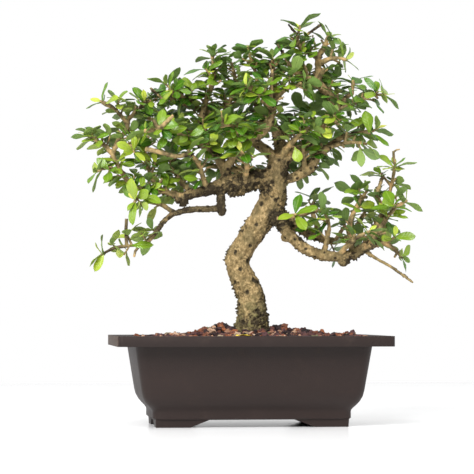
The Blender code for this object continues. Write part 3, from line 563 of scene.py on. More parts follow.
def shaded_gravel_bed():
    """The crumbs between the chips, near black as painted shade in the gaps: a closed slab with an
    uneven top.
    """
    bpy.ops.object.select_all(action="DESELECT")
    bpy.ops.mesh.primitive_cube_add(size=2.0)
    bed = bpy.context.object
    edit((bpy.ops.mesh.subdivide, {"number_cuts": BED_CUTS}))
    base = SOIL_TOP + BED_ABOVE_SOIL
    for point in bed.data.vertices:
        x = point.co.x * (GRAVEL_HALF_LENGTH + BED_SPARE)
        y = point.co.y * (GRAVEL_HALF_LENGTH + BED_SPARE - LENGTH_OVER_WIDTH)
        share = (point.co.z + 1) / 2
        bump = BED_BUMP * noise.noise(Vector((x, y, 0)) * BED_BUMPS_PER_MM)
        surface = mound_height(x, y) - BED_BELOW_CHIPS + bump
        point.co = at(x, y, base + share * (surface - base))
    bpy.ops.mesh.primitive_cylinder_add(
        vertices=TRUNK_HOLE_SIDES, radius=TRUNK_HOLE_RADIUS * MM, depth=TRUNK_HOLE_DEPTH * MM,
        location=at(*TRUNK_BASE, SOIL_TOP + TRUNK_HOLE_RAISED))
    fuse(bed, bpy.context.object, "DIFFERENCE")
    return bed


chip_kinds = [chip_kind(number) for number in range(CHIP_KINDS)]
chip_groups = []
chip_tones = []
for number in range(CHIPS):
    x, y = chip_place()
    radius = gravel_draw.uniform(*(LARGE_CHIP_RADIUS if number < LARGE_CHIPS else CHIP_RADIUS))
    points, faces = gravel_draw.choice(chip_kinds)
    turn = Matrix.Rotation(gravel_draw.uniform(0, math.tau), 3, Vector((
        gravel_draw.gauss(0, 1), gravel_draw.gauss(0, 1), gravel_draw.gauss(0, 1))).normalized())
    height = mound_height(x, y) + gravel_draw.uniform(*CHIP_RISE)
    from_leaf = math.hypot(x - FALLEN_LEAF_PLACE[0] - FALLEN_LEAF_MIDDLE, y - FALLEN_LEAF_PLACE[1])
    if from_leaf < FALLEN_LEAF_CLEARING:
        height = min(height, fallen_low.z / MM + FALLEN_LEAF_LIFT - radius * CARRYING_CHIP_REACH)
    squat = np.array((
        1.0, gravel_draw.uniform(*CHIP_WIDTH_SHARE), gravel_draw.uniform(*CHIP_HEIGHT_SHARE)))
    placed = (points * squat * radius) @ np.array(turn).T
    chip_groups.append((placed * MM + np.array(at(x, y, height)), faces))
    chip_tones += [gravel_draw.random()] * len(points)

bed = shaded_gravel_bed()
chips = add_object("lava_gravel", joined_mesh("lava_gravel", chip_groups))
write_attribute(chips.data, "chip_tone", "FLOAT", "POINT", chip_tones)
# The bed's points have no chip tone, so it takes the first, near-black stop: painted shade between
# the chips
select_only(chips, bed)
bpy.ops.object.join()

lava = Finish("lava_chips", roughness=0.88, specular=0.25)
tone = lava.attribute("chip_tone")
pores = lava.mottle(1400.0, detail=4.0, roughness=0.7)
stone = lava.ramp(tone, (
    (0.0, (0.008, 0.006, 0.006)), (0.20, (0.022, 0.014, 0.015)), (0.40, (0.078, 0.035, 0.038)),
    (0.53, (0.105, 0.040, 0.029)), (0.65, (0.290, 0.095, 0.035)), (0.76, (0.082, 0.037, 0.040)),
    (0.86, (0.350, 0.165, 0.090)), (0.95, (0.520, 0.360, 0.250)), (1.0, (0.050, 0.100, 0.025))))
lava.colour(lava.blend(lava.between(pores, 0.28, 0.56), (0.030, 0.015, 0.012), stone))
lava.relief(pores, depth=0.0012)
show(chips, lava, "gravel", "gravel")


# The wood: the trunk and all its limbs, grown as one, with pruned stubs and a few dry twigs. Its
# tan bark has long low ridges, round leaf scars, crusty nodules, dark callus knobs at old cuts
# and forks, and moss on the lower trunk.
# A limb is a route of (x, y, z, radius); its first number says how many points are bare wood
LIMBS = {
    "trunk": (16, [
        (4.8, 0, 58, 15), (4.8, 0, 80, 16), (4.8, 0, 91, 15.6), (5.2, 1.5, 104, 13.4),
        (4.2, 4, 119, 12.7), (0.2, 6, 130, 12.2), (-5.2, 8, 141, 11.4), (-8, 8, 153, 10.9),
        (-1.5, 6, 166, 10.6), (6.5, 4, 179, 10.9), (15, 2, 192, 11.8), (22.5, 0, 205, 12.8),
        (25.4, -2, 217, 11.8), (27, -3, 228, 10.2), (28, -3, 238, 9.8), (30, -2, 247, 8.6)]),
    "left_limb": (7, [
        (27, -3, 228, 9.5), (14, -4.5, 228.5, 9), (-3.7, -6, 226, 8.4), (-20, -8, 223.5, 7.4),
        (-38, -10, 217.5, 5.2), (-52, -12.5, 214, 4.5), (-66, -15, 208.5, 3.9)]),
    "left_tip": (6, [
        (-60, -14, 211, 3.4), (-73, -16, 214, 2.7), (-85, -17, 218, 2.3), (-106, -18, 220, 2.3),
        (-118, -16, 233, 2.3), (-126, -14, 249, 2.3), (-133, -12, 258, 1.8), (-149, -10, 267, 1.2)]),
    "left_rise": (4, [
        (-126, -14, 249, 2.2), (-121, -8, 262, 2.2), (-112.5, -2, 273.5, 2.3), (-110.5, 4, 283, 2),
        (-103, 7, 292, 1.7), (-93, 6, 299, 1.4), (-84, 2, 303, 1.2)]),
    "left_high": (1, [
        (-111, 1, 279, 2.2), (-119, -2, 288, 1.9), (-128, -5, 296, 1.6), (-137, -7, 299, 1.3)]),
    "left_low": (1, [
        (-118, -16, 233, 2.2), (-126, -21, 236, 1.8), (-134, -24, 236, 1.5), (-141, -25, 233, 1.2)]),
    "left_inner": (1, [(-122, -9, 259, 2), (-114, -14, 258, 1.7), (-104, -18, 257, 1.3)]),
    "left_mid": (1, [
        (-85, -17, 218, 2.2), (-90, -9, 230, 2), (-94, -3, 243, 1.8), (-95, 0, 256, 1.5),
        (-92, 0, 268, 1.2)]),
    "left_under": (1, [
        (-96, -17.5, 219, 2.2), (-101, -26, 213, 1.8), (-107, -32, 205, 1.3)]),
    "hanging_stub": (3, [(-25, -8.5, 222, 4.4), (-25.4, -9, 209, 3.9), (-24.3, -9, 196, 3.6)]),
    "low_left": (5, [
        (-25, -9, 200.5, 3.2), (-38, -11, 200, 3.1), (-54, -14, 199, 2.9), (-70, -18, 195, 2.6),
        (-79, -20, 188, 2.3), (-85, -21, 180, 2), (-92, -22, 171.5, 1.9), (-101, -23, 166.5, 1.6),
        (-113.5, -24, 165, 1.5), (-125, -24, 163, 1.3), (-137, -24, 157, 1.1)]),
    "low_left_up": (1, [(-70, -18, 196.5, 2.2), (-80, -14, 203, 1.8), (-92, -11, 206, 1.3)]),
    "rise": (5, [
        (-20, -8, 223.5, 5.5), (-21, -4, 237, 4.6), (-30, 0, 253, 4.2), (-38, 4, 268, 3.8),
        (-42, 8, 284, 3.2), (-38, 10, 301, 2.6), (-31, 10, 319, 2.1), (-30, 9, 333, 1.8),
        (-32, 8, 346, 1.4)]),
    "front_left": (2, [
        (-30, 0, 253, 3.4), (-46, -16, 260, 3), (-64, -26, 267, 2.5), (-82, -32, 271, 2),
        (-98, -34, 270, 1.5)]),
    "back_left": (2, [
        (-38, 4, 268, 3.2), (-56, 20, 277, 2.8), (-74, 36, 285, 2.3), (-92, 46, 289, 1.6)]),
    "crown_left": (6, [
        (29, -2, 243, 6), (20, 0, 254, 5), (9, 2, 262.5, 4.6), (-6, 6, 273, 4.2),
        (-22, 12, 284, 3.6), (-40, 18, 294, 3), (-58, 20, 301, 2.5), (-76, 17, 307, 1.8)]),
    "crown_mid": (7, [
        (-21, -4, 237, 3.8), (-14, -13, 248, 3.6), (-4, -18, 258, 3.8), (8, -20, 267, 3.8),
        (18, -20, 278, 3.6), (22, -18, 291, 3.3), (24, -16, 303, 2.9), (25, -14, 318, 2.3),
        (24, -12, 330, 1.9), (22, -11, 342, 1.4)]),
    "crown_top_left": (1, [
        (23, -17, 297, 2.6), (15, -14, 311, 2.2), (8, -12, 325, 1.9), (3, -11, 338, 1.6),
        (0, -10, 350, 1.3)]),
    "crown_back": (4, [
        (29, -2, 243, 7), (33, 8, 256, 6), (33, 21, 269, 5), (29, 34, 282, 4.2),
        (23, 46, 294, 3.4), (15, 56, 304, 2.6), (5, 64, 312, 1.8)]),
    "crown_back_right": (2, [
        (33, 21, 269, 3.6), (45, 36, 280, 3.2), (59, 50, 290, 2.6), (72, 60, 297, 1.8)]),
    "crown_back_left": (2, [
        (29, 34, 282, 3.2), (10, 46, 285, 2.9), (-10, 57, 286, 2.4), (-30, 66, 286, 1.7)]),
    "crown_right": (9, [
        (29, -2, 243, 7.5), (41, -3, 253, 6.4), (54, -3, 261, 5.4), (66, -1, 271, 4.8),
        (76, 1, 284, 4.4), (82, 3, 300, 4.3), (77, 4, 311, 4.2), (67, 3, 319, 4.1),
        (56, 2, 325, 3.7), (46, 0, 330, 3), (38, -2, 339, 2.1)]),
    "top": (3, [
        (67, 3, 319, 3.4), (68, 4, 330, 3.2), (68, 5, 344, 3), (74, 6, 354, 2.4),
        (78, 6, 364, 1.8)]),
    "top_right": (1, [(68, 4, 338, 2.6), (78, 0, 342, 2), (87, -2, 343, 1.6), (94, -3, 341, 1.3)]),
    "apex": (1, [
        (68, 5, 343, 2.4), (60, 3, 348, 2.1), (51, 1, 352, 2), (48, 0, 360, 1.7),
        (50, -1, 373, 1.2)]),
    "right_shoot": (2, [
        (82, 3, 300, 3), (92, 5, 304, 2.4), (100, 4, 311, 2), (101, 2, 322, 1.4)]),
    "right_tip": (1, [
        (82, 3, 300, 2.5), (93, -3, 300, 2.1), (108, -6, 304, 1.8), (119, -7, 308, 1.5),
        (130, -8, 308, 1.2)]),
    "right_limb": (7, [
        (27, -3, 228, 5.4), (38, -4, 229, 4.6), (49, -6, 232.5, 4.3), (59, -9, 239, 4.2),
        (65, -10, 249, 3.6), (76, -11, 259, 3.1), (89, -12, 268, 2.6), (103, -14, 272, 2),
        (113, -15, 273, 1.6), (121, -15, 275, 1.2)]),
    "right_back": (2, [
        (49, -6, 232.5, 3.8), (57, 14, 241, 3.5), (67, 32, 252, 3), (79, 46, 261, 2.4),
        (91, 56, 267, 1.6)]),
    "thin_shoot": (1, [(54, -7.5, 235, 2.6), (52, -14, 247, 2), (50, -22, 258, 1.4)]),
    "low_right": (10, [
        (22, 0, 205, 8), (30, -4, 191.5, 6.8), (37, -8, 179, 5.5), (46, -11, 169, 5.1),
        (57, -14, 161.5, 4.8), (70, -16, 157.3, 4.7), (84, -18, 156, 4.8), (97, -18, 158.5, 4.8),
        (106, -18, 163, 4.5), (115, -18, 168, 4.2), (127, -18, 169, 3), (136, -19, 163, 1.9),
        (143, -21, 155, 1.3)]),
    "low_right_tail": (4, [
        (106, -18, 163.5, 2.2), (118, -18, 155, 1.6), (133, -19, 146.5, 1.5), (152, -20, 133, 1.2)]),
    "low_right_rise": (2, [
        (97, -18, 159.5, 3.2), (95, -16, 170, 2.7), (94, -14, 182, 2.4), (98, -12, 195, 2.2),
        (105, -10, 208, 1.8), (113, -8, 219, 1.3)]),
    "low_right_high": (1, [
        (112, -18, 166.5, 2.8), (118, -14, 179, 2.4), (125, -13, 194, 2.1), (131, -13, 209, 1.9),
        (135, -13, 226, 1.6), (138, -14, 242, 1.2)]),
    "low_right_far": (1, [
        (113, -19, 167.5, 2.6), (119, -27, 178, 2.2), (126, -29, 190, 1.9), (135, -29, 201, 1.6),
        (146, -28, 208, 1.3)]),
    "low_right_front": (1, [
        (70, -16, 159, 3), (72, -24, 172, 2.2), (73, -29, 184, 1.8), (69, -31, 195, 1.3)]),
    "low_right_side": (1, [
        (84, -18, 157.5, 2.8), (90, -29, 166, 2.2), (99, -37, 174, 1.8), (109, -42, 179, 1.3)]),
    "low_right_back": (1, [
        (106, -18, 163.5, 2.6), (113, -5, 174, 2.1), (122, 3, 187, 1.8), (130, 8, 200, 1.3)]),
    "second_right": (6, [
        (22, 0, 205, 6.4), (36, 5, 194, 4.8), (48, 8, 185, 4.2), (59, 8, 178, 3.9),
        (70, 7, 174, 3.5), (84, 8, 171, 3.1), (97, 15, 175, 2.6), (108, 21, 187, 2.2),
        (117, 24, 202, 1.6)]),
    "second_right_up": (1, [
        (70, 7, 174, 3), (67, 14, 189, 2.2), (64, 18, 202, 1.8), (68, 20, 213, 1.3)]),
    "right_twig": (1, [
        (30, -4, 193, 3.4), (44, -14, 194, 2.4), (56, -19, 197, 1.9), (69, -21, 199, 1.3)]),
    "back_limb": (3, [
        (25.4, -2, 217, 6.2), (23, 14, 225, 5), (15, 34, 233, 4.2), (2, 52, 239, 3.4),
        (-16, 67, 244, 2.6), (-34, 78, 247, 1.7)]),
    "back_right_low": (2, [
        (15, 34, 233, 3.2), (29, 53, 237, 2.9), (44, 69, 242, 2.4), (57, 81, 246, 1.6)]),
    "limb_front_shoot": (1, [
        (-38, -10, 217.5, 2.8), (-43, -19, 229, 2.2), (-48, -27, 241, 1.8), (-58, -32, 253, 1.3)]),
    "limb_back_shoot": (1, [
        (-52, -12.5, 214, 2.8), (-60, 0, 224, 2.2), (-67, 11, 237, 1.8), (-71, 18, 253, 1.3)]),
    "inner_shoot": (1, [
        (-3.7, -6, 226, 3.4), (-3, -22, 235, 2.4), (-4, -33, 244, 1.9), (-10, -42, 251, 1.3)]),
    "fork_shoot": (1, [
        (30, -2, 247, 4), (37, -17, 258, 2.6), (44, -29, 267, 2), (53, -38, 274, 1.4)]),
    "front_right": (1, [
        (54, -3, 261, 4), (62, -19, 270, 2.8), (72, -31, 278, 2.2), (83, -39, 283, 1.5)]),
    "front_mid": (1, [
        (-4, -18, 258, 3), (-11, -32, 266, 2.4), (-20, -43, 273, 2), (-30, -50, 277, 1.4)]),
    "front_high": (1, [
        (22, -18, 291, 2.8), (14, -28, 300, 2.2), (4, -36, 307, 1.8), (-6, -40, 312, 1.3)]),
    "crown_left_up": (1, [
        (-22, 12, 284, 3), (-17, 16, 298, 2.3), (-10, 20, 312, 1.9), (-9, 21, 326, 1.6),
        (-12, 22, 340, 1.3)]),
    "crown_left_front": (1, [
        (-40, 18, 294, 2.6), (-55, 8, 303, 2), (-66, -2, 308, 1.7), (-74, -10, 310, 1.3)]),
    "crown_mid_right": (1, [
        (24, -16, 303, 2.6), (34, -22, 311, 2), (45, -25, 315, 1.6), (54, -24, 317, 1.3)]),
    "crown_right_front": (1, [
        (76, 1, 284, 3), (84, -12, 291, 2.2), (91, -22, 296, 1.7), (99, -27, 298, 1.3)]),
    "crown_right_back": (1, [
        (82, 3, 300, 3), (84, 17, 308, 2.2), (82, 29, 316, 1.7), (76, 38, 321, 1.3)]),
    "right_limb_low": (1, [
        (76, -11, 259, 2.6), (86, -20, 261, 2), (97, -27, 262, 1.6), (108, -30, 260, 1.3)]),
}
# Callus knobs as (x, y, z, radius), and pruned stubs as routes, both as in the CAD
KNOTS = (
    (25, -8, 192, 6), (88, -19, 151.5, 5), (-14, -8, 215.5, 4.2), (-5, -7, 217.5, 3.8),
    (-61, -15, 205.5, 3.6), (108, -20, 166, 4), (6, -1, 98, 12.6), (-12, 4, 148, 6),
    (18, -5, 214, 6), (36, -5, 174.5, 4.8))
STUBS = (
    ((67, 3, 319, 2.6), (72, -6, 333, 1.8)), ((59, 2, 323.5, 2.2), (53, -6, 336, 1.5)),
    ((106, -18, 163.5, 2.4), (112, -28, 166, 1.6)), ((-85, -17, 218, 2), (-81, -25, 227, 1.3)),
    ((84, 8, 171, 2.2), (93, 3, 186, 1.5)), ((66, -1, 271, 2.4), (70, -9, 281, 1.6)))
# Dry twigs and pruned forks that only the scene has, as routes
DRY_TWIGS = (
    ((49, -1, 363, 1.5), (38.5, -3, 374, 1.2)), ((57, 1, 365, 1.5), (70, -1, 374.5, 1.2)),
    ((66, 5, 352, 1.2), (62, 1, 365, 0.8)), ((24, -14, 322, 1.4), (19, -17, 338, 1.0)),
    ((-76, -5, 299, 1.6), (-91, -9, 312, 1.2)), ((-124, -5, 293, 1.9), (-136, -9, 298, 1.7)),
    ((-86, -33, 270, 2.0), (-86, -46, 270, 2.2), (-73, -51, 283, 1.6)),
    ((-86, -45, 270, 2.0), (-91, -49, 279, 1.5)),
    ((-54, -30, 250, 1.9), (-69, -36, 247, 2.1), (-84, -40, 250, 2.0), (-98, -41, 253, 2.4)),
    ((24, -15, 298, 2.6), (19, -27, 297, 3.4), (10, -30, 300, 2.8)),
    ((19, -26, 298, 2.0), (20.5, -29, 328, 1.6)), ((20, -27, 297, 1.3), (31, -31, 303, 0.9)),
    ((38, -2, 340, 1.7), (28, -5, 355, 1.3)), ((119, -17, 212, 2.0), (126, -18, 233, 1.7)))
# Old cuts and forks with cracked crust, then weathered dark wood and painted shade at the fork under
# the crown, both as (x, y, z, spread)
ROUGH_PLACES = (
    (9, -6, 229, 12), (-2, -8, 226, 13), (-18, -9, 223, 12), (-34, -11, 218, 9), (19, -8, 217, 7),
    (27, -8, 193, 11), (32, -7, 186, 9), (-61, -15, 206, 8), (-25, -9, 200, 8), (90, -19, 154, 9),
    (42, -2, 370, 8), (65, 0, 371, 8), (-86, -7, 308, 7), (108, -19, 166, 7), (13, -9, 95, 9),
    (37, -7, 231, 6), (9, -3, 134, 4), (48, -11, 171, 6), (66, -6, 258, 6),
    (40, 4, 190, 7), (-30, -4, 253, 6), (8, -18, 267, 6), (78, 0, 300, 7), (60, 1, 322, 6))
DARK_PLACES = (
    (-25, -9, 208, 14), (-39, -11, 200, 14), (-56, -14, 199, 14), (-71, -18, 194, 12),
    (-85, -21, 180, 13), (-114, -24, 181, 13), (-129, -24, 160, 13), (-46, -11, 215, 12),
    # The fork at (31, -3, 240) is dirty and also takes painted shade from the crown above it
    (41, -2, 371, 11), (67, 0, 372, 11), (28, -5, 352, 9), (31, -3, 240, 19), (17, -3, 205, 11),
    (137, -14, 252, 8), (67, -1, 371, 8))
NEARNESS_FALL = 1.4
GAP = 0.3
CURVE_STEPS = 4
WOOD_TUBE_ROUNDNESS = 4
TIP_LENGTH = 0.6
TIP_RADIUS = 0.45
MERGE_WITHIN = 0.00001
VOXEL = 0.9
SMOOTH_SHARE = 0.5
SMOOTH_ROUNDS = 3
GOLDEN_ANGLE = math.radians(137.5)

# The bark's relief in millimetres. Thick wood has all of it and thin wood little
THICK_RADIUS = 9.0
RIDGE_LIFT = 0.55
RIDGES_PER_MM_ACROSS = 0.33
RIDGES_PER_MM_UP = 0.10
LUMP_LIFT = 0.75
LUMPS_PER_MM = 0.16
GRAIN_LIFT = 0.16
GRAIN_PER_MM = 0.9
TWIG_LUMP_LIFT = 0.45
TWIG_LUMPS_PER_MM = 0.38
CRUMBS_PER_MM = 0.50
CRUMB_LIFT = 1.4
FINE_CRUMBS = 0.6
CRUMBS_ON_CLEAN_BARK = 0.30
CRUMBS_ON_FOOT = 0.7
FOOT_TOP = 130.0
FOOT_FADE = 35.0
FOOT_ROUGHNESS = 0.5
NODULE_LIFT = 7.0
NODULE_PATCHES_PER_MM = 0.045
NODULE_PATCH_MIDDLE = 0.45
NODULE_PATCH_CONTRAST = 1.8
NODULES_BEHIND = 0.40
NODULES_OFF_FOOT = 0.65
NODULE_LEAST_CRUMB = 0.05
NODULES_ON_TWIGS = 0.35
CHUNKS_PER_MM = 0.28
CHUNK_LIFT = 3.0
CHUNKS_ON_TWIGS = 0.15
LOWEST_CHUNK = 0.25
CHUNK_HEIGHT_MIX = 7.0
CHUNK_TONE_MIX = 3.0
CRACK_WIDTH = 0.30
SCAR_SPACING = (0.5, 2.6)
FIRST_SCAR_AT = (2, 8)
SCAR_RADIUS = 2.3
SCAR_DEPTH = 0.9
SCAR_RIM_LIFT = 0.60
SCAR_RIM_AT = 1.25
SCAR_RIM_WIDTH = 0.42
SCAR_PIT_STEEPNESS = 1.6
SCARS_ON_TWIGS = 0.45

# How dark each kind of mark makes the bark, from 0 to 1 and beyond, with the painted shade on the
# side away from the lamp
SCAR_DIRT = 1.5
CHUNK_DIRT = 0.56
CRACK_DIRT = 0.5
MIXED_CHUNK_DIRT = 0.6
FOOT_DIRT = 0.8
NODULE_DIRT = 5.0
# Painted shade on the bark's side away from the lamp
SHADY_SIDE_PAINTED_SHADE = 0.85
SHADY_SIDE_FROM = 0.10
SHADY_SIDE_EVEN = 0.5
SHADY_SIDE_CRUMBS = 1.2
DARK_PLACE_DIRT_AND_SHADE = 0.62
MOSS_FROM = 132.0
MOSS_FULL = 92.0
LIMBS_WITH_SCARS = ("trunk", "left_limb", "low_right", "second_right", "crown_right", "right_limb",
                    "crown_left", "crown_mid", "low_left", "rise", "back_limb", "crown_back")

wood_draw = random.Random(8)


def smoothed(route):
    """A smooth curve through a route's points of (x, y, z, radius)."""
    knots = [np.array(point, float) for point in route]
    knots = [2 * knots[0] - knots[1]] + knots + [2 * knots[-1] - knots[-2]]
    curve = []
    for a, b, c, d in zip(knots, knots[1:], knots[2:], knots[3:]):
        for step in range(CURVE_STEPS):
            t = step / CURVE_STEPS
            curve.append(0.5 * (2 * b + (c - a) * t + (2 * a - 5 * b + 4 * c - d) * t ** 2
                                + (3 * b - a - 3 * c + d) * t ** 3))
    return curve + [knots[-2]]


def split_limb(route, bare):
    """The bare stretch and the leafy stretch of a limb, a gap apart in the middle of a segment."""
    if bare >= len(route):
        return list(route), []
    before = Vector(route[bare - 1])
    after = Vector(route[bare])
    share = GAP / 2 / (after - before).to_3d().length
    end = before.lerp(after, 0.5 - share)
    start = before.lerp(after, 0.5 + share)
    return list(route[:bare]) + [end], [start] + list(route[bare:])


def tubes(name, routes, resolution):
    """One object of closed tapering tubes, one for each route of (x, y, z, radius)."""
    curve = bpy.data.curves.new(name, "CURVE")
    curve.dimensions = "3D"
    curve.bevel_depth = MM
    curve.bevel_resolution = resolution
    curve.use_fill_caps = True
    for route in routes:
        spline = curve.splines.new("POLY")
        spline.points.add(len(route) - 1)
        for knot, point in zip(spline.points, route):
            knot.co = (*at(*point[:3]), 1.0)
            knot.radius = point[3]
    piece = add_object(name, curve)
    select_only(piece)
    bpy.ops.object.convert(target="MESH")
    edit((bpy.ops.mesh.remove_doubles, {"threshold": MERGE_WITHIN}), FACE_OUTWARD)
    return piece


def rounded_end(route):
    """A route with a last short step that closes it to a small tip."""
    last = np.array(route[-1], float)
    ahead = last[:3] - np.array(route[-2], float)[:3]
    ahead /= np.linalg.norm(ahead)
    tip = np.append(last[:3] + ahead * last[3] * TIP_LENGTH, last[3] * TIP_RADIUS)
    return list(route) + [tip]


def scar_places():
    """Leaf scars along the main limbs, turned round the limb by the golden angle."""
    places = []
    for name in LIMBS_WITH_SCARS:
        bare, route = LIMBS[name]
        curve = smoothed(split_limb(route, bare)[0])
        turn = wood_draw.uniform(0, math.tau)
        left = wood_draw.uniform(*FIRST_SCAR_AT)
        for before, after in zip(curve, curve[1:]):
            ahead = Vector(after[:3] - before[:3])
            left -= ahead.length
            if left < 0:
                side = ahead.orthogonal().normalized()
                outward = Matrix.Rotation(turn, 3, ahead.normalized()) @ side
                places.append(Vector(after[:3]) + outward * after[3])
                turn += GOLDEN_ANGLE
                left = wood_draw.uniform(*SCAR_SPACING)
    return places


def nearest(places):
    """A search tree over places."""
    tree = KDTree(len(places))
    for index, place in enumerate(places):
        tree.insert(place, index)
    tree.balance()
    return tree


def closeness(place, centres):
    """How near a place is to some centres together, from 0 to 1."""
    total = 0.0
    for x, y, z, spread in centres:
        away = (place - Vector((x, y, z))).length / spread
        total += math.exp(-NEARNESS_FALL * away * away)
    return min(1.0, total)


def fade(least, amount):
    """A share that runs from a least value to 1 while an amount runs from 0 to 1."""
    return least + (1.0 - least) * amount


def ridges(place, thick):
    """Long low ridges and lumps on thick wood, small lumps on thin wood, and grain on both."""
    long_ridges = noise.noise(Vector((
        place.x * RIDGES_PER_MM_ACROSS, place.y * RIDGES_PER_MM_ACROSS,
        place.z * RIDGES_PER_MM_UP)))
    lumps = noise.noise(place * LUMPS_PER_MM)
    lift = thick * (RIDGE_LIFT * long_ridges + LUMP_LIFT * lumps)
    lift += GRAIN_LIFT * noise.noise(place * GRAIN_PER_MM)
    return lift + (1.0 - thick) * TWIG_LUMP_LIFT * noise.noise(place * TWIG_LUMPS_PER_MM)


def chunks(place, rough, thick):
    """The cracked crust round an old cut: how far it lifts the bark and how dark it is."""
    to_seeds, seeds = noise.voronoi(place * CHUNKS_PER_MM)
    crack = max(0.0, 1.0 - (to_seeds[1] - to_seeds[0]) / CRACK_WIDTH)
    lift = rough * fade(CHUNKS_ON_TWIGS, thick) * CHUNK_LIFT
    lift *= fade(LOWEST_CHUNK, noise.cell(seeds[0] * CHUNK_HEIGHT_MIX)) * (1.0 - crack)
    mixed = noise.cell(seeds[0] * CHUNK_TONE_MIX)
    return lift, rough * (CHUNK_DIRT + CRACK_DIRT * crack + MIXED_CHUNK_DIRT * mixed)


def scar(place, thick, scars):
    """A leaf scar's pit with its raised rim: its lift, and how deep in the pit a place is."""
    size = fade(SCARS_ON_TWIGS, thick)
    away = scars.find(place)[2] / SCAR_RADIUS / size
    pit = math.exp(-away ** 2 * SCAR_PIT_STEEPNESS)
    rim = math.exp(-((away - SCAR_RIM_AT) / SCAR_RIM_WIDTH) ** 2)
    return size * (SCAR_RIM_LIFT * rim - SCAR_DEPTH * pit), pit


def nodules(place, facing, crumbs, foot):
    """How thick the crusty nodules are. They grow in patches, most of them on the back."""
    clouds = noise.noise(place * NODULE_PATCHES_PER_MM)
    patch = max(0.0, min(1.0, NODULE_PATCH_MIDDLE + NODULE_PATCH_CONTRAST * clouds))
    behind = 1.0 - NODULES_BEHIND + NODULES_BEHIND * facing.y
    knobbly_part = max(0.0, crumbs - NODULE_LEAST_CRUMB)
    return patch * behind * knobbly_part * (1.0 - NODULES_OFF_FOOT * foot)


def shady_side(facing, crumbs, foot):
    """How much painted shade darkens the bark on the side away from the lamp, more so where it is
    crumbly.
    """
    side = max(0.0, facing.x - SHADY_SIDE_FROM)
    return max(0.0, side * (SHADY_SIDE_EVEN + SHADY_SIDE_CRUMBS * crumbs) * (1.0 - foot))


def bark_skin(wood, centre_lines):
    """Raise the bark's relief on the remeshed wood, and store what its colour reads."""
    middles = nearest([Vector(point[:3]) for point in centre_lines])
    scars = nearest(scar_places())
    stored = []
    moved = []
    for point in wood.data.vertices:
        place = (point.co - pot_middle) / MM
        thick = min(1.0, centre_lines[middles.find(place)[1]][3] / THICK_RADIUS)
        foot = max(0.0, min(1.0, (FOOT_TOP - place.z) / FOOT_FADE))
        rough = min(1.0, closeness(place, ROUGH_PLACES) + FOOT_ROUGHNESS * foot)
        crumbs = noise.noise(place * CRUMBS_PER_MM)
        crumbs += FINE_CRUMBS * noise.noise(place * 2 * CRUMBS_PER_MM)
        crumbly = min(1.0, CRUMBS_ON_CLEAN_BARK + rough + CRUMBS_ON_FOOT * foot)
        nodule = nodules(place, point.normal, crumbs, foot)
        chunk_lift, chunk_dirt = chunks(place, rough, thick)
        scar_lift, pit = scar(place, thick, scars)
        lift = ridges(place, thick)
        lift += crumbly * thick * CRUMB_LIFT * crumbs
        lift += NODULE_LIFT * fade(NODULES_ON_TWIGS, thick) * nodule
        moved.append(point.co + point.normal * (lift + chunk_lift + scar_lift) * MM)
        # Real marks and dirt, plus painted shade on the side away from the lamp and at the fork
        # under the crown
        bark_darkening = (
            SCAR_DIRT * pit + SHADY_SIDE_PAINTED_SHADE * shady_side(point.normal, crumbs, foot) + chunk_dirt
            + FOOT_DIRT * foot * max(0.0, -crumbs) + NODULE_DIRT * nodule
            + DARK_PLACE_DIRT_AND_SHADE * closeness(place, DARK_PLACES))
        stored.append((min(1.0, bark_darkening), 1.0 - thick, place.z))
    for point, place in zip(wood.data.vertices, moved):
        point.co = place
    write_attribute(wood.data, "bark", "FLOAT_VECTOR", "POINT", stored)


wood_routes = []
for bare, route in LIMBS.values():
    wood_routes.append(smoothed(rounded_end(split_limb(route, bare)[0])))
for stub in STUBS + DRY_TWIGS:
    wood_routes.append(smoothed(stub))
wood = tubes("bark_and_limbs", wood_routes, WOOD_TUBE_ROUNDNESS)
knobs = []
for x, y, z, radius in KNOTS:
    bpy.ops.mesh.primitive_ico_sphere_add(subdivisions=2, radius=radius * MM, location=at(x, y, z))
    settle(bpy.context.object)
    knobs.append(bpy.context.object)
select_only(wood, *knobs)
bpy.ops.object.join()
modify(wood, "REMESH", mode="VOXEL", voxel_size=VOXEL * MM, use_smooth_shade=True)
modify(wood, "SMOOTH", factor=SMOOTH_SHARE, iterations=SMOOTH_ROUNDS)
bark_skin(wood, [point for route in wood_routes for point in route])

bark = Finish("tan_bark", roughness=0.78, specular=0.16)
darkness, slender, height = bark.split(bark.attribute("bark", "Vector"))
flakes = bark.mottle(330.0, detail=5.0, roughness=0.65, places=bark.stretched(1.0, 1.0, 0.7))
patches = bark.mottle(70.0)
specks = bark.mottle(900.0, roughness=0.6)
fresh = bark.mottle(130.0)
tan = bark.ramp(flakes, (
    (0.28, (0.038, 0.026, 0.011)), (0.40, (0.150, 0.104, 0.043)), (0.54, (0.280, 0.198, 0.090)),
    (0.70, (0.520, 0.375, 0.190))))
speckled = bark.blend(bark.between(specks, 0.48, 0.66) * 0.45, tan, (0.050, 0.035, 0.016))
aged = bark.blend(bark.between(patches, 0.40, 0.66) * 0.7, speckled, (0.090, 0.072, 0.032))
twig_bark = bark.ramp(fresh, (
    (0.32, (0.040, 0.029, 0.014)), (0.43, (0.130, 0.098, 0.045)), (0.55, (0.270, 0.200, 0.088)),
    (0.68, (0.450, 0.285, 0.125))))
thin = bark.blend(bark.between(slender, 0.35, 0.80) * 0.9, aged, twig_bark)
green = bark.between(height, MOSS_FROM, MOSS_FULL) * bark.between(patches, 0.34, 0.58)
mossy = bark.blend(green * 0.55, thin, (0.110, 0.112, 0.042))
deepest = bark.between(darkness, 0.70, 0.98)
crusty = bark.blend(
    bark.between(specks, 0.40, 0.62) * (1.0 - 0.85 * deepest), (0.020, 0.014, 0.007),
    (0.115, 0.088, 0.042))
bark.colour(bark.blend(bark.between(darkness + 0.5 * (specks - 0.5), 0.25, 0.75), mossy, crusty))
bark.relief(flakes * 0.6 + specks * 0.4, depth=0.0016)
show(wood, bark, "bark", "trunk_and_limbs")


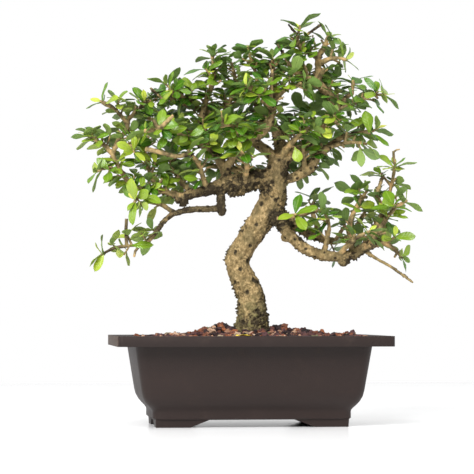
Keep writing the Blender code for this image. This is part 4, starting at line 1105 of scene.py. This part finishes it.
# The leafy sprays: each limb's living end, with side twigs turned by the golden angle, leathery
# leaves in a rosette round each tip, and a few bare stubs, dead twigs and single leaves. They
# grow as in the CAD, from the same seed, and then smaller young leaves fill in.
WOOD_OVERLAP = 2.0
GROWTH_SEED = 4
FILL_SEED = 11
LEAF_KEEL = 1.3
ROOT_DEPTH = 0.5
LEAF_LENGTH = (16.5, 23.5)
LEAF_WIDTH_SHARE = (0.52, 0.64)
LEAF_STATIONS = ((0.36, 0.36), (0.75, 0.50))
LEAF_CLEAR_FROM = 0.22
LEAF_CLEARANCE = 0.32
LEAF_SPREAD = (38.0, 62.0)
LEAF_SPREAD_STEP = 7.0
LEAF_TURN = 0.3
LEAF_TURN_PER_TRY = 0.5
LEAF_ROLL = 0.45
LEAF_FOLD = (0.10, 0.34)
LEAF_DROOP = (0.10, 0.36)
LEAVES_PER_ROSETTE = 4
LEAF_TRIES = 14
SHRINK_PER_TRY = 0.03
ROSETTE_RISE = 0.7
ROSETTE_SPACING = 20.5
TWIG_LENGTH = (8.0, 14.0)
TWIG_RADIUS = 1.3
TWIG_TIP_RADIUS = 1.0
TWIG_CLEARANCE = 0.5
TWIG_LEAN = 0.45
TWIG_RISE = 0.45
TWIG_OUTER_FROM = 2.5
TWIG_TURN = 0.5
TWIG_TURN_PER_TRY = 0.4
FIRST_TWIG_AT = (0.35, 0.6)
LAST_TWIG_BEFORE_END = 0.45
TWIG_SPACING_SPREAD = (0.85, 1.15)
LEAF_FIRST_BACK = 1.2
LEAF_STAGGER = 1.3
SLEEVE_SIDES = 6
SLEEVE_SPARE = 1.2

# The growth that only the scene has: its blades are thin, so they find room close together
FINE_KEEL = 0.5
FINE_CLEARANCE = 0.08
FINE_TWIG_CLEARANCE = 0.1
FINE_STATIONS = ((0.34, 0.27), (0.64, 0.44), (0.90, 0.31))
# Rounds of tufts as (spacing, twig lengths, leaves, leaf lengths, youth)
FILL_ROUNDS = (
    (6.6, (5.0, 12.0), 5, (13.0, 20.0), 0.2), (8.5, (3.0, 8.0), 5, (9.0, 16.0), 0.6))
FILL_TWIG_RADIUS = 0.95
FILL_TRIES = 10
SPUR_WOOD_RADIUS = 4.7
# Limbs whose bare wood carries no spurs, limbs without stubs, and limbs with few leaves
BARE_LIMBS = ("hanging_stub", "low_right_tail", "low_left")
UNCUT_LIMBS = ("low_left",)
SPARSE_LIMBS = (
    "low_left", "low_left_up", "left_low", "low_right", "low_right_high", "low_right_far",
    "low_right_rise", "low_right_back", "low_right_front", "low_right_side",
    "second_right", "second_right_up", "right_tip", "right_shoot", "right_limb", "right_limb_low",
    "crown_right_front", "top_right", "top", "thin_shoot", "right_twig")
# Boxes as (low corner, high corner) that the fill leaves free, so that the trunk shows
OPEN_ZONES = (
    ((-48.0, -60.0, 186.0), (62.0, 30.0, 246.0)), ((0.0, -60.0, 240.0), (60.0, 5.0, 266.0)))
SPARSE_SPACING = 15.0
SPARSE_LEAVES = 4
STUB_SPACING = 13.0
STUB_LENGTH = (3.0, 8.0)
STUB_RADIUS = 1.35
BUD_LEAVES = 3
SPARSE_BUD_LEAVES = 1
BUD_LENGTH = (7.0, 13.0)
BUD_SPREAD = (12.0, 40.0)
MOST_OBSTACLES = 9000
# Single leaves given as (limb, root, direction, normal, length, width, youth)
LONE_LEAVES = (
    ("fork_shoot", (42, -24, 257), (0.20, -0.25, -0.90), (-0.3, -0.9, 0.35), 14.5, 11.5, 1.9),
    ("low_left", (-134, -24, 159.5), (-0.48, -0.05, -0.87), (-0.35, -0.9, 0.2), 20.0, 9.5, 0.1),
    ("low_left", (-111, -25, 165.5), (0.97, -0.18, 0.10), (0.05, -0.80, 0.60), 22.0, 10.5, 0.1))
LONE_LEAF_FOLD = 0.10
LONE_LEAF_DROOP = 0.12
# How much paler the leaves of some limbs are
PALE_SPRAYS = {"low_left": 0.12, "low_left_up": 0.20}
# Twigs given one by one: the stalk of the fork shoot's single leaf, then dead ones
HAND_SET_TWIGS = (
    ("fork_shoot", [(37, -17, 258, 0.9), (42, -24, 257.5, 0.6)]),
    ("low_left", [(-113.5, -24, 165, 1.7), (-114.4, -24.5, 178, 1.6), (-113.8, -25, 190, 1.5)]),
    ("low_left", [(-101, -23, 166.5, 1.5), (-106, -27, 160, 1.3), (-107, -28, 155, 1.0)]),
    ("low_right_high", [(138, -14, 241, 1.2), (136.6, -14, 248, 1.3), (136.2, -14, 255, 1.2)]),
    ("low_right_high", [(136.2, -14, 254, 1.0), (139, -15, 256, 0.8), (142, -16, 256.5, 0.6)]))

BLADE_ACROSS = 4
# The blade's outline as (share of its length, half width as a share of its width)
BLADE_ROWS = (
    (0.0, 0.05), (0.12, 0.08), (0.31, 0.27), (0.49, 0.39), (0.67, 0.43), (0.83, 0.35),
    (0.94, 0.20), (1.0, 0.03))
BLADE_THICKNESS = 0.4
BLADE_EDGE_THINNING = 0.6
BLADE_TIP_ROUND = 0.03
BLADE_EDGE_ROLL = 0.16
BLADE_WAVE = 0.045
BLADE_WAVE_TURNS = 9.0

# A leaf's tone from 0 to 1, and how far it rises with youth and towards the crown's sides
LEAF_TONE = 0.31
LEAF_TONE_SPREAD = 0.15
YOUNG_LEAF_TONE_SPREAD = 0.09
YOUNG_LEAF_TONE = 0.28
SIDE_LEAF_TONE = 0.20
CROWN_MIDDLE = 15.0
SIDE_FROM = 80.0
SIDE_DEPTH = 90.0
LEAF_SMOOTH_ANGLE = math.radians(50)

TWIG_KNOBS = (0.85, 1.25)
TWIG_TUBE_ROUNDNESS = 2
TWIG_DIRT = (-0.1, 0.32)
ABOVE_THE_MOSS = 300.0


class Obstacle:
    """A closed shape that later growth has to miss, with the spray that it belongs to.

    A leaf or twig is rooted in its own spray, so there only its outer part has to be clear.
    """

    def __init__(self, owner, whole, outer=None):
        self.owner = owner
        self.whole = BVHTree.FromPolygons(*whole)
        self.outer = BVHTree.FromPolygons(*outer) if outer else None
        points = whole[0]
        self.centre = sum(points, Vector()) / len(points)
        self.reach = max((point - self.centre).length for point in points)


def around(direction):
    """Two directions square to a given one."""
    side = direction.cross(Vector((0, 0, 1)))
    if side.length < 0.1:
        side = direction.cross(Vector((1, 0, 0)))
    side.normalize()
    return side, side.cross(direction).normalized()


def prism(points, margin):
    """A closed sleeve round a route of (x, y, z, radius), for the clearance tests."""
    corners = []
    faces = []
    for i, point in enumerate(points):
        place = Vector(point[:3])
        ahead = Vector(points[min(i + 1, len(points) - 1)][:3])
        behind = Vector(points[max(i - 1, 0)][:3])
        side, up = around((ahead - behind).normalized())
        for step in range(SLEEVE_SIDES):
            angle = math.tau * step / SLEEVE_SIDES
            offset = side * math.cos(angle) + up * math.sin(angle)
            corners.append(place + offset * (point[3] * SLEEVE_SPARE + margin))
    last = len(corners) - SLEEVE_SIDES
    for low in range(0, last, SLEEVE_SIDES):
        high = low + SLEEVE_SIDES
        for step in range(SLEEVE_SIDES):
            after = (step + 1) % SLEEVE_SIDES
            faces.append((low + step, low + after, high + after, high + step))
    faces.append(tuple(reversed(range(SLEEVE_SIDES))))
    faces.append(tuple(range(last, last + SLEEVE_SIDES)))
    return corners, faces


class Leaf:
    """One blade: its root's place, its axes, its size and how it folds and droops."""

    def __init__(self, root, along, normal, length, width, fold, droop):
        self.root = root
        self.along = along
        self.side = normal.cross(along).normalized()
        self.normal = along.cross(self.side).normalized()
        self.length = length
        self.width = width
        self.fold = fold
        self.droop = droop
        self.keel = LEAF_KEEL
        self.stations = LEAF_STATIONS
        self.youth = 0.0

    def make_fine(self):
        """Take the thin form of the scene's blades for the clearance tests."""
        self.keel = FINE_KEEL
        self.stations = FINE_STATIONS

    def place(self, forward, across, up):
        """A point of the blade in millimetres."""
        return self.root + self.along * forward + self.side * across + self.normal * up

    def section(self, t, half, margin):
        """The plain blade's three-cornered section at a share of its length."""
        centre = -self.droop * self.length * t * t
        edge = centre + self.fold * half + margin
        forward = self.length * t
        return [
            self.place(forward, half + margin, edge),
            self.place(forward, -half - margin, edge),
            self.place(forward, 0.0, centre - self.keel - margin)]

    def shape(self, margin, first=None):
        """The plain blade's points and faces, whole or from a share of its length."""
        sections = [self.section(t, share * self.width, margin) for t, share in self.stations]
        if first is None:
            points = [self.place(-ROOT_DEPTH, 0.0, -self.keel / 3)]
            faces = [(0, 1, 2), (0, 2, 3), (0, 3, 1)]
        else:
            reach, share = self.stations[0]
            sections.insert(0, self.section(first, share * self.width * first / reach, margin))
            points = []
            faces = [(0, 1, 2)]
        low = len(points)
        for corners in sections:
            points += corners
        for left in range(low, len(points) - 3, 3):
            right, keel = left + 1, left + 2
            faces += [
                (left, left + 3, right + 3), (left, right + 3, right),
                (right, right + 3, keel + 3), (right, keel + 3, keel),
                (keel, keel + 3, left + 3), (keel, left + 3, left)]
        points.append(self.place(self.length + 2 * margin, 0.0, -self.droop * self.length))
        left, right, keel, tip = range(len(points) - 4, len(points))
        faces += [(left, tip, right), (right, tip, keel), (keel, tip, left)]
        return points, faces


def thin_wood(name):
    """The stretch of a limb's bare wood that is thin enough to carry spurs."""
    bare, route = LIMBS[name]
    return [point for point in split_limb(route, bare)[0] if point[3] < SPUR_WOOD_RADIUS]


def has_spurs(name):
    """True for a limb with a thin stretch of bare wood that leaves sprout from."""
    bare, route = LIMBS[name]
    return bare < len(route) and name not in BARE_LIMBS and len(thin_wood(name)) > 2


def hides_trunk(leaf):
    """True for a leaf whose tip would hang before the trunk's top and the left limb."""
    tip = leaf.place(leaf.length, 0.0, -leaf.droop * leaf.length)
    return any(
        all(low < value < high for low, value, high in zip(low_corner, tip, high_corner))
        for low_corner, high_corner in OPEN_ZONES)


class Growth:
    """Places side twigs and leaves on the limbs, each clear of all that grew before it."""

    def __init__(self, seed):
        self.draw = random.Random(seed)
        self.twig_clearance = TWIG_CLEARANCE
        self.leaf_clearance = LEAF_CLEARANCE
        self.is_fine = False
        self.forget()
        self.sprays = {}
        for name, (bare, route) in LIMBS.items():
            wood_route, leafy = split_limb(route, bare)
            self.block("wood", wood_route)
            if leafy:
                self.sprays[name] = {"axis": leafy, "twigs": [], "leaves": []}
                self.block(name, leafy)
        for stub in STUBS:
            self.block("wood", stub)

    def forget(self):
        """Drop all obstacles; the spheres round them make the search quick."""
        self.obstacles = []
        self.spheres = np.zeros((MOST_OBSTACLES, 4))

    def add(self, obstacle):
        self.spheres[len(self.obstacles)] = (*obstacle.centre, obstacle.reach)
        self.obstacles.append(obstacle)

    def block(self, owner, route):
        """Make a tube along a route an obstacle."""
        self.add(Obstacle(owner, prism(route, self.twig_clearance)))

    def leaf_obstacle(self, name, leaf):
        return Obstacle(
            name, leaf.shape(self.leaf_clearance), leaf.shape(self.leaf_clearance, LEAF_CLEAR_FROM))

    def near(self, candidate):
        """The obstacles whose spheres reach the candidate's."""
        spheres = self.spheres[:len(self.obstacles)]
        away = np.linalg.norm(spheres[:, :3] - np.array(candidate.centre), axis=1)
        return [self.obstacles[i] for i in np.flatnonzero(away <= spheres[:, 3] + candidate.reach)]

    def is_clear(self, candidate):
        """True where a shape misses the other sprays, and its own spray beyond its root."""
        for obstacle in self.near(candidate):
            if obstacle.owner != candidate.owner:
                if candidate.whole.overlap(obstacle.whole):
                    return False
            elif candidate.outer.overlap(obstacle.whole):
                return False
            elif obstacle.outer and candidate.whole.overlap(obstacle.outer):
                return False
        return True

    def grow_twigs(self, name, route, spacing, lengths, radius):
        """Short side twigs along a route, turned by the golden angle, rising a little."""
        axis = [Vector(point) for point in route]
        steps = [(b - a).to_3d().length for a, b in zip(axis, axis[1:])]
        travelled = spacing * self.draw.uniform(*FIRST_TWIG_AT)
        turn = self.draw.uniform(0, math.tau)
        grown = []
        while travelled < sum(steps) - LAST_TWIG_BEFORE_END * spacing:
            segment = 0
            rest = travelled
            while rest > steps[segment]:
                rest -= steps[segment]
                segment += 1
            start = axis[segment].lerp(axis[segment + 1], rest / steps[segment])
            ahead = (axis[segment + 1] - axis[segment]).to_3d().normalized()
            side, up = around(ahead)
            for attempt in range(LEAF_TRIES):
                aside = self.draw.uniform(-TWIG_TURN, TWIG_TURN)
                angle = turn + aside * (1 + attempt * TWIG_TURN_PER_TRY)
                outward = side * math.cos(angle) + up * math.sin(angle)
                heading = (outward + TWIG_LEAN * ahead + Vector((0, 0, TWIG_RISE))).normalized()
                length = self.draw.uniform(*lengths) + start[3]
                end = start.to_3d() + heading * length
                twig = [(*start.to_3d(), radius), (*end, radius * TWIG_TIP_RADIUS / TWIG_RADIUS)]
                clear_from = start.to_3d() + heading * (start[3] + TWIG_OUTER_FROM)
                beyond = [(*clear_from, radius), twig[1]]
                candidate = Obstacle(
                    name, prism(twig, self.twig_clearance), prism(beyond, self.twig_clearance))
                if self.is_clear(candidate):
                    candidate.outer = None
                    grown.append(twig)
                    self.add(candidate)
                    break
            turn += GOLDEN_ANGLE
            travelled += spacing * self.draw.uniform(*TWIG_SPACING_SPREAD)
        self.sprays[name]["twigs"] += grown
        return [(Vector(twig[0][:3]), Vector(twig[1][:3])) for twig in grown]

    def grow_rosette(self, name, before, end, count, lengths, spreads, tries, youth):
        """Leaves round a tip, staggered along it, spreading and arching over."""
        spray = self.sprays[name]
        axis = (end - before).normalized()
        reach = (end - before).length
        crown = (axis + Vector((0, 0, ROSETTE_RISE))).normalized()
        side, up = around(crown)
        turn = self.draw.uniform(0, math.tau)
        for number in range(count):
            back = min(LEAF_FIRST_BACK + LEAF_STAGGER * number, reach - TWIG_OUTER_FROM)
            root = end - axis * back
            for attempt in range(tries):
                aside = self.draw.uniform(-LEAF_TURN, LEAF_TURN)
                angle = turn + aside * (1 + LEAF_TURN_PER_TRY * attempt)
                spread = math.radians(self.draw.uniform(*spreads) + LEAF_SPREAD_STEP * number)
                radial = side * math.cos(angle) + up * math.sin(angle)
                along = crown * math.cos(spread) + radial * math.sin(spread)
                normal = crown * math.sin(spread) - radial * math.cos(spread)
                roll = Matrix.Rotation(self.draw.uniform(-LEAF_ROLL, LEAF_ROLL), 3, along)
                length = self.draw.uniform(*lengths) * (1.0 - SHRINK_PER_TRY * attempt)
                leaf = Leaf(
                    root, along, roll @ normal, length,
                    length * self.draw.uniform(*LEAF_WIDTH_SHARE),
                    self.draw.uniform(*LEAF_FOLD), self.draw.uniform(*LEAF_DROOP))
                if self.is_fine:
                    leaf.make_fine()
                candidate = self.leaf_obstacle(name, leaf)
                if self.is_fine and hides_trunk(leaf):
                    continue
                if self.is_clear(candidate):
                    leaf.youth = youth
                    spray["leaves"].append(leaf)
                    self.add(candidate)
                    break
            turn += GOLDEN_ANGLE

    def grow(self):
        """The growth of the CAD: twigs first, then the rosettes of all sprays in a mixed order."""
        tips = []
        for name, spray in self.sprays.items():
            own = self.grow_twigs(name, spray["axis"], ROSETTE_SPACING, TWIG_LENGTH, TWIG_RADIUS)
            before, last = spray["axis"][-2:]
            own.append((Vector(before[:3]), Vector(last[:3])))
            tips += [(name, *tip) for tip in own]
        self.draw.shuffle(tips)
        for tip in tips:
            self.grow_rosette(*tip, LEAVES_PER_ROSETTE, LEAF_LENGTH, LEAF_SPREAD, LEAF_TRIES, 0.0)
        return tips

    def refine(self):
        """Test from now on against blades and twigs as thin as the scene's."""
        self.twig_clearance = FINE_TWIG_CLEARANCE
        self.leaf_clearance = FINE_CLEARANCE
        self.is_fine = True
        self.forget()
        for name, (bare, route) in LIMBS.items():
            self.block(name if has_spurs(name) else "wood", split_limb(route, bare)[0])
        for stub in STUBS + DRY_TWIGS:
            self.block("wood", stub)
        for name, spray in self.sprays.items():
            self.block(name, spray["axis"])
            for twig in spray["twigs"]:
                self.block(name, twig)
            for leaf in spray["leaves"]:
                leaf.make_fine()
                self.add(self.leaf_obstacle(name, leaf))

    def fill(self, tips):
        """Bare stubs of pruned twigs, young leaves in the rosettes, and tufts on short spurs."""
        for name, spray in self.sprays.items():
            if name not in UNCUT_LIMBS:
                self.grow_twigs(name, spray["axis"], STUB_SPACING, STUB_LENGTH, STUB_RADIUS)
            if has_spurs(name):
                self.grow_twigs(name, thin_wood(name), STUB_SPACING, STUB_LENGTH, STUB_RADIUS)
        for tip in tips:
            buds = SPARSE_BUD_LEAVES if tip[0] in SPARSE_LIMBS else BUD_LEAVES
            self.grow_rosette(*tip, buds, BUD_LENGTH, BUD_SPREAD, FILL_TRIES, 1.0)
        for number, fill_round in enumerate(FILL_ROUNDS):
            usual_spacing, twig_lengths, count, leaf_lengths, youth = fill_round
            spurs = []
            for name, spray in self.sprays.items():
                is_sparse = name in SPARSE_LIMBS
                if is_sparse and number:
                    continue
                spacing = SPARSE_SPACING if is_sparse else usual_spacing
                leaves = SPARSE_LEAVES if is_sparse else count
                routes = [spray["axis"]]
                if has_spurs(name):
                    routes.append(thin_wood(name))
                for route in routes:
                    own = self.grow_twigs(name, route, spacing, twig_lengths, FILL_TWIG_RADIUS)
                    spurs += [(name, *tip, leaves) for tip in own]
            self.draw.shuffle(spurs)
            for spur in spurs:
                self.grow_rosette(*spur, leaf_lengths, LEAF_SPREAD, FILL_TRIES, youth)


def blank_blade():
    """A flat blade with a top and a bottom, as (place across, place along, layer) and faces."""
    bpy.ops.object.select_all(action="DESELECT")
    bpy.ops.mesh.primitive_grid_add(
        x_subdivisions=BLADE_ACROSS, y_subdivisions=len(BLADE_ROWS) - 1, size=2.0)
    edit((bpy.ops.mesh.extrude_region_move, {
        "TRANSFORM_OT_translate": {"value": (0.0, 0.0, -1.0)}}), FACE_OUTWARD)
    return taken_apart(bpy.context.object)


blade_points, blade_faces = blank_blade()
blade_across = blade_points[:, 0]
blade_row = (blade_points[:, 1] + 1.0) / 2.0 * (len(BLADE_ROWS) - 1)
blade_along = np.interp(blade_row, range(len(BLADE_ROWS)), [t for t, share in BLADE_ROWS])
blade_share = np.interp(blade_row, range(len(BLADE_ROWS)), [share for t, share in BLADE_ROWS])
blade_below = -blade_points[:, 2]


def blade_places(leaf, wave):
    """The blank blade bent to one leaf, in metres."""
    across = blade_across * blade_share * leaf.width
    rounding = BLADE_TIP_ROUND * blade_across ** 2 * blade_along ** 5
    forward = leaf.length * (blade_along - rounding) - ROOT_DEPTH * (1.0 - blade_along)
    up = leaf.fold * np.abs(across) - leaf.droop * leaf.length * blade_along ** 2
    up -= BLADE_EDGE_ROLL * leaf.width * np.abs(blade_across) ** 3 * blade_share
    waves = np.sin(BLADE_WAVE_TURNS * blade_along + wave + blade_across)
    up += BLADE_WAVE * leaf.width * blade_across ** 2 * waves
    up -= BLADE_THICKNESS * blade_below * (1.0 - BLADE_EDGE_THINNING * np.abs(blade_across))
    places = (
        np.array(leaf.root) + np.outer(forward, leaf.along) + np.outer(across, leaf.side)
        + np.outer(up, leaf.normal))
    return places * MM + np.array(pot_middle)


def leaf_tone(leaf, draw, paler):
    """How light a leaf is: 0 for old and dark, 1 for the youngest, paler towards both sides."""
    to_side = max(0.0, (abs(leaf.root.x - CROWN_MIDDLE) - SIDE_FROM) / SIDE_DEPTH)
    tone = draw.gauss(LEAF_TONE, LEAF_TONE_SPREAD + YOUNG_LEAF_TONE_SPREAD * leaf.youth)
    tone += YOUNG_LEAF_TONE * leaf.youth
    return min(1.0, max(0.0, tone + SIDE_LEAF_TONE * to_side + paler))


def foliage(name, leaves, draw, paler=0.0):
    """One mesh of leaves, with what their colour reads stored on it."""
    groups = []
    stored = []
    for leaf in leaves:
        groups.append((blade_places(leaf, draw.uniform(0, math.tau)), blade_faces))
        tone = leaf_tone(leaf, draw, paler)
        stored += [(across, along, tone) for across, along in zip(blade_across, blade_along)]
    mesh = joined_mesh(name, groups)
    write_attribute(mesh, "blade", "FLOAT_VECTOR", "POINT", stored)
    below = [float(all(blade_below[corner] > 0.5 for corner in face)) for face in blade_faces]
    write_attribute(mesh, "underside", "FLOAT", "FACE", below * len(leaves))
    return mesh


leaf_green = Finish("leathery_leaf", roughness=0.36, specular=0.30)
across, along, tone = leaf_green.split(leaf_green.attribute("blade", "Vector"))
clouds = leaf_green.mottle(160.0)
rib = 1.0 - leaf_green.between(across ** 2.0, 0.0, 0.035)
green = leaf_green.ramp(tone + 0.16 * (clouds - 0.5), (
    (0.0, (0.011, 0.052, 0.002)), (0.28, (0.048, 0.128, 0.006)), (0.50, (0.136, 0.214, 0.014)),
    (0.74, (0.265, 0.335, 0.030)), (0.93, (0.380, 0.445, 0.055)), (1.0, (0.450, 0.460, 0.065))))
veined = leaf_green.blend(rib * 0.22, green, (0.250, 0.350, 0.070))
under = leaf_green.attribute("underside")
leaf_green.colour(leaf_green.blend(under * 0.55, veined, (0.190, 0.270, 0.085)))
leaf_green.dullness(0.16 + 0.12 * clouds + 0.40 * under)
side_veins = leaf_green.node("ShaderNodeMath", {"operation": "SINE"}, {
    0: along * 46.0 - 9.0 * (across ** 2.0) ** 0.5})
leaf_green.relief(0.5 * rib + 0.12 * side_veins + 0.3 * clouds, depth=0.0004)


def knobbly(route, draw):
    """A route with joints of uneven thickness."""
    return [np.append(point[:3], point[3] * draw.uniform(*TWIG_KNOBS)) for point in route]


growth = Growth(GROWTH_SEED)
cad_tips = growth.grow()
growth.draw = random.Random(FILL_SEED)
growth.refine()
growth.fill(cad_tips)
for name, root, along, normal, length, width, youth in LONE_LEAVES:
    leaf = Leaf(
        Vector(root), Vector(along).normalized(), Vector(normal), length, width,
        LONE_LEAF_FOLD, LONE_LEAF_DROOP)
    leaf.youth = youth
    growth.sprays[name]["leaves"].append(leaf)
for name, twig in HAND_SET_TWIGS:
    growth.sprays[name]["twigs"].append(twig)

tint_draw = random.Random(5)
for name, spray in growth.sprays.items():
    leaves = foliage("foliage_" + name, spray["leaves"], tint_draw, PALE_SPRAYS.get(name, 0.0))
    leafy_piece = add_object("foliage_" + name, leaves)
    axis = smoothed(spray["axis"])
    back = axis[0] - axis[1]
    root = axis[0] + back / np.linalg.norm(back[:3]) * WOOD_OVERLAP
    root[3] = axis[0][3]
    routes = [rounded_end([root] + knobbly(axis, tint_draw))] + spray["twigs"]
    twigs = tubes("twigs_" + name, routes, TWIG_TUBE_ROUNDNESS)
    bark_darkening = tint_draw.uniform(*TWIG_DIRT)
    stored = []
    for point in twigs.data.vertices:
        place = (point.co - pot_middle) / MM
        # The dark places, the fork's painted shade under the crown among them, darken the twigs too
        darker = DARK_PLACE_DIRT_AND_SHADE * closeness(place, DARK_PLACES)
        stored.append((bark_darkening + darker, 1.0, ABOVE_THE_MOSS))
    write_attribute(twigs.data, "bark", "FLOAT_VECTOR", "POINT", stored)
    twigs.data.materials.append(bark.material)
    leaves.materials.append(leaf_green.material)
    select_only(leafy_piece, twigs)
    bpy.ops.object.join()
    bpy.ops.object.shade_smooth_by_angle(angle=LEAF_SMOOTH_ANGLE)
    show(leafy_piece, None, "leaf", "spray_" + name)


# The shed leaf: one withered yellow leaf, straighter than the living ones. It fell from the tree
# and lies loose on the chips at the front.
SHED_LEAF_FOLD = 0.34
SHED_LEAF_DROOP = 0.04

shed_draw = random.Random(2)
shed = Leaf(
    Vector((*FALLEN_LEAF_PLACE, 0.0)),
    Vector((math.cos(FALLEN_LEAF_TURN), math.sin(FALLEN_LEAF_TURN), 0.0)),
    Vector((0, 0, 1)), *FALLEN_LEAF_SIZE, SHED_LEAF_FOLD, SHED_LEAF_DROOP)
shed_mesh = foliage("shed_leaf", [shed], shed_draw)
shed_top = max(point.co.z for point in shed_mesh.vertices)
shed_mesh.transform(Matrix.Translation((
    0, 0, fallen_high.z + FALLEN_LEAF_LIFT * MM - shed_top)))
shed_leaf = add_object("shed_leaf", shed_mesh)
select_only(shed_leaf)
bpy.ops.object.shade_smooth_by_angle(angle=LEAF_SMOOTH_ANGLE)

yellow = Finish("withered_yellow", roughness=0.55, specular=0.35)
across, along, tone = yellow.split(yellow.attribute("blade", "Vector"))
blotches = yellow.between(yellow.mottle(420.0, detail=4.0), 0.50, 0.66)
rib = 1.0 - yellow.between(across ** 2.0, 0.0, 0.04)
golden = yellow.blend(rib * 0.6, (0.780, 0.600, 0.040), (0.820, 0.700, 0.180))
yellow.colour(yellow.blend(blotches * 0.35, golden, (0.400, 0.210, 0.030)))
yellow.relief(0.5 * rib + 0.4 * blotches, depth=0.0004)
show(shed_leaf, yellow, "yellow_leaf", "fallen_leaf")
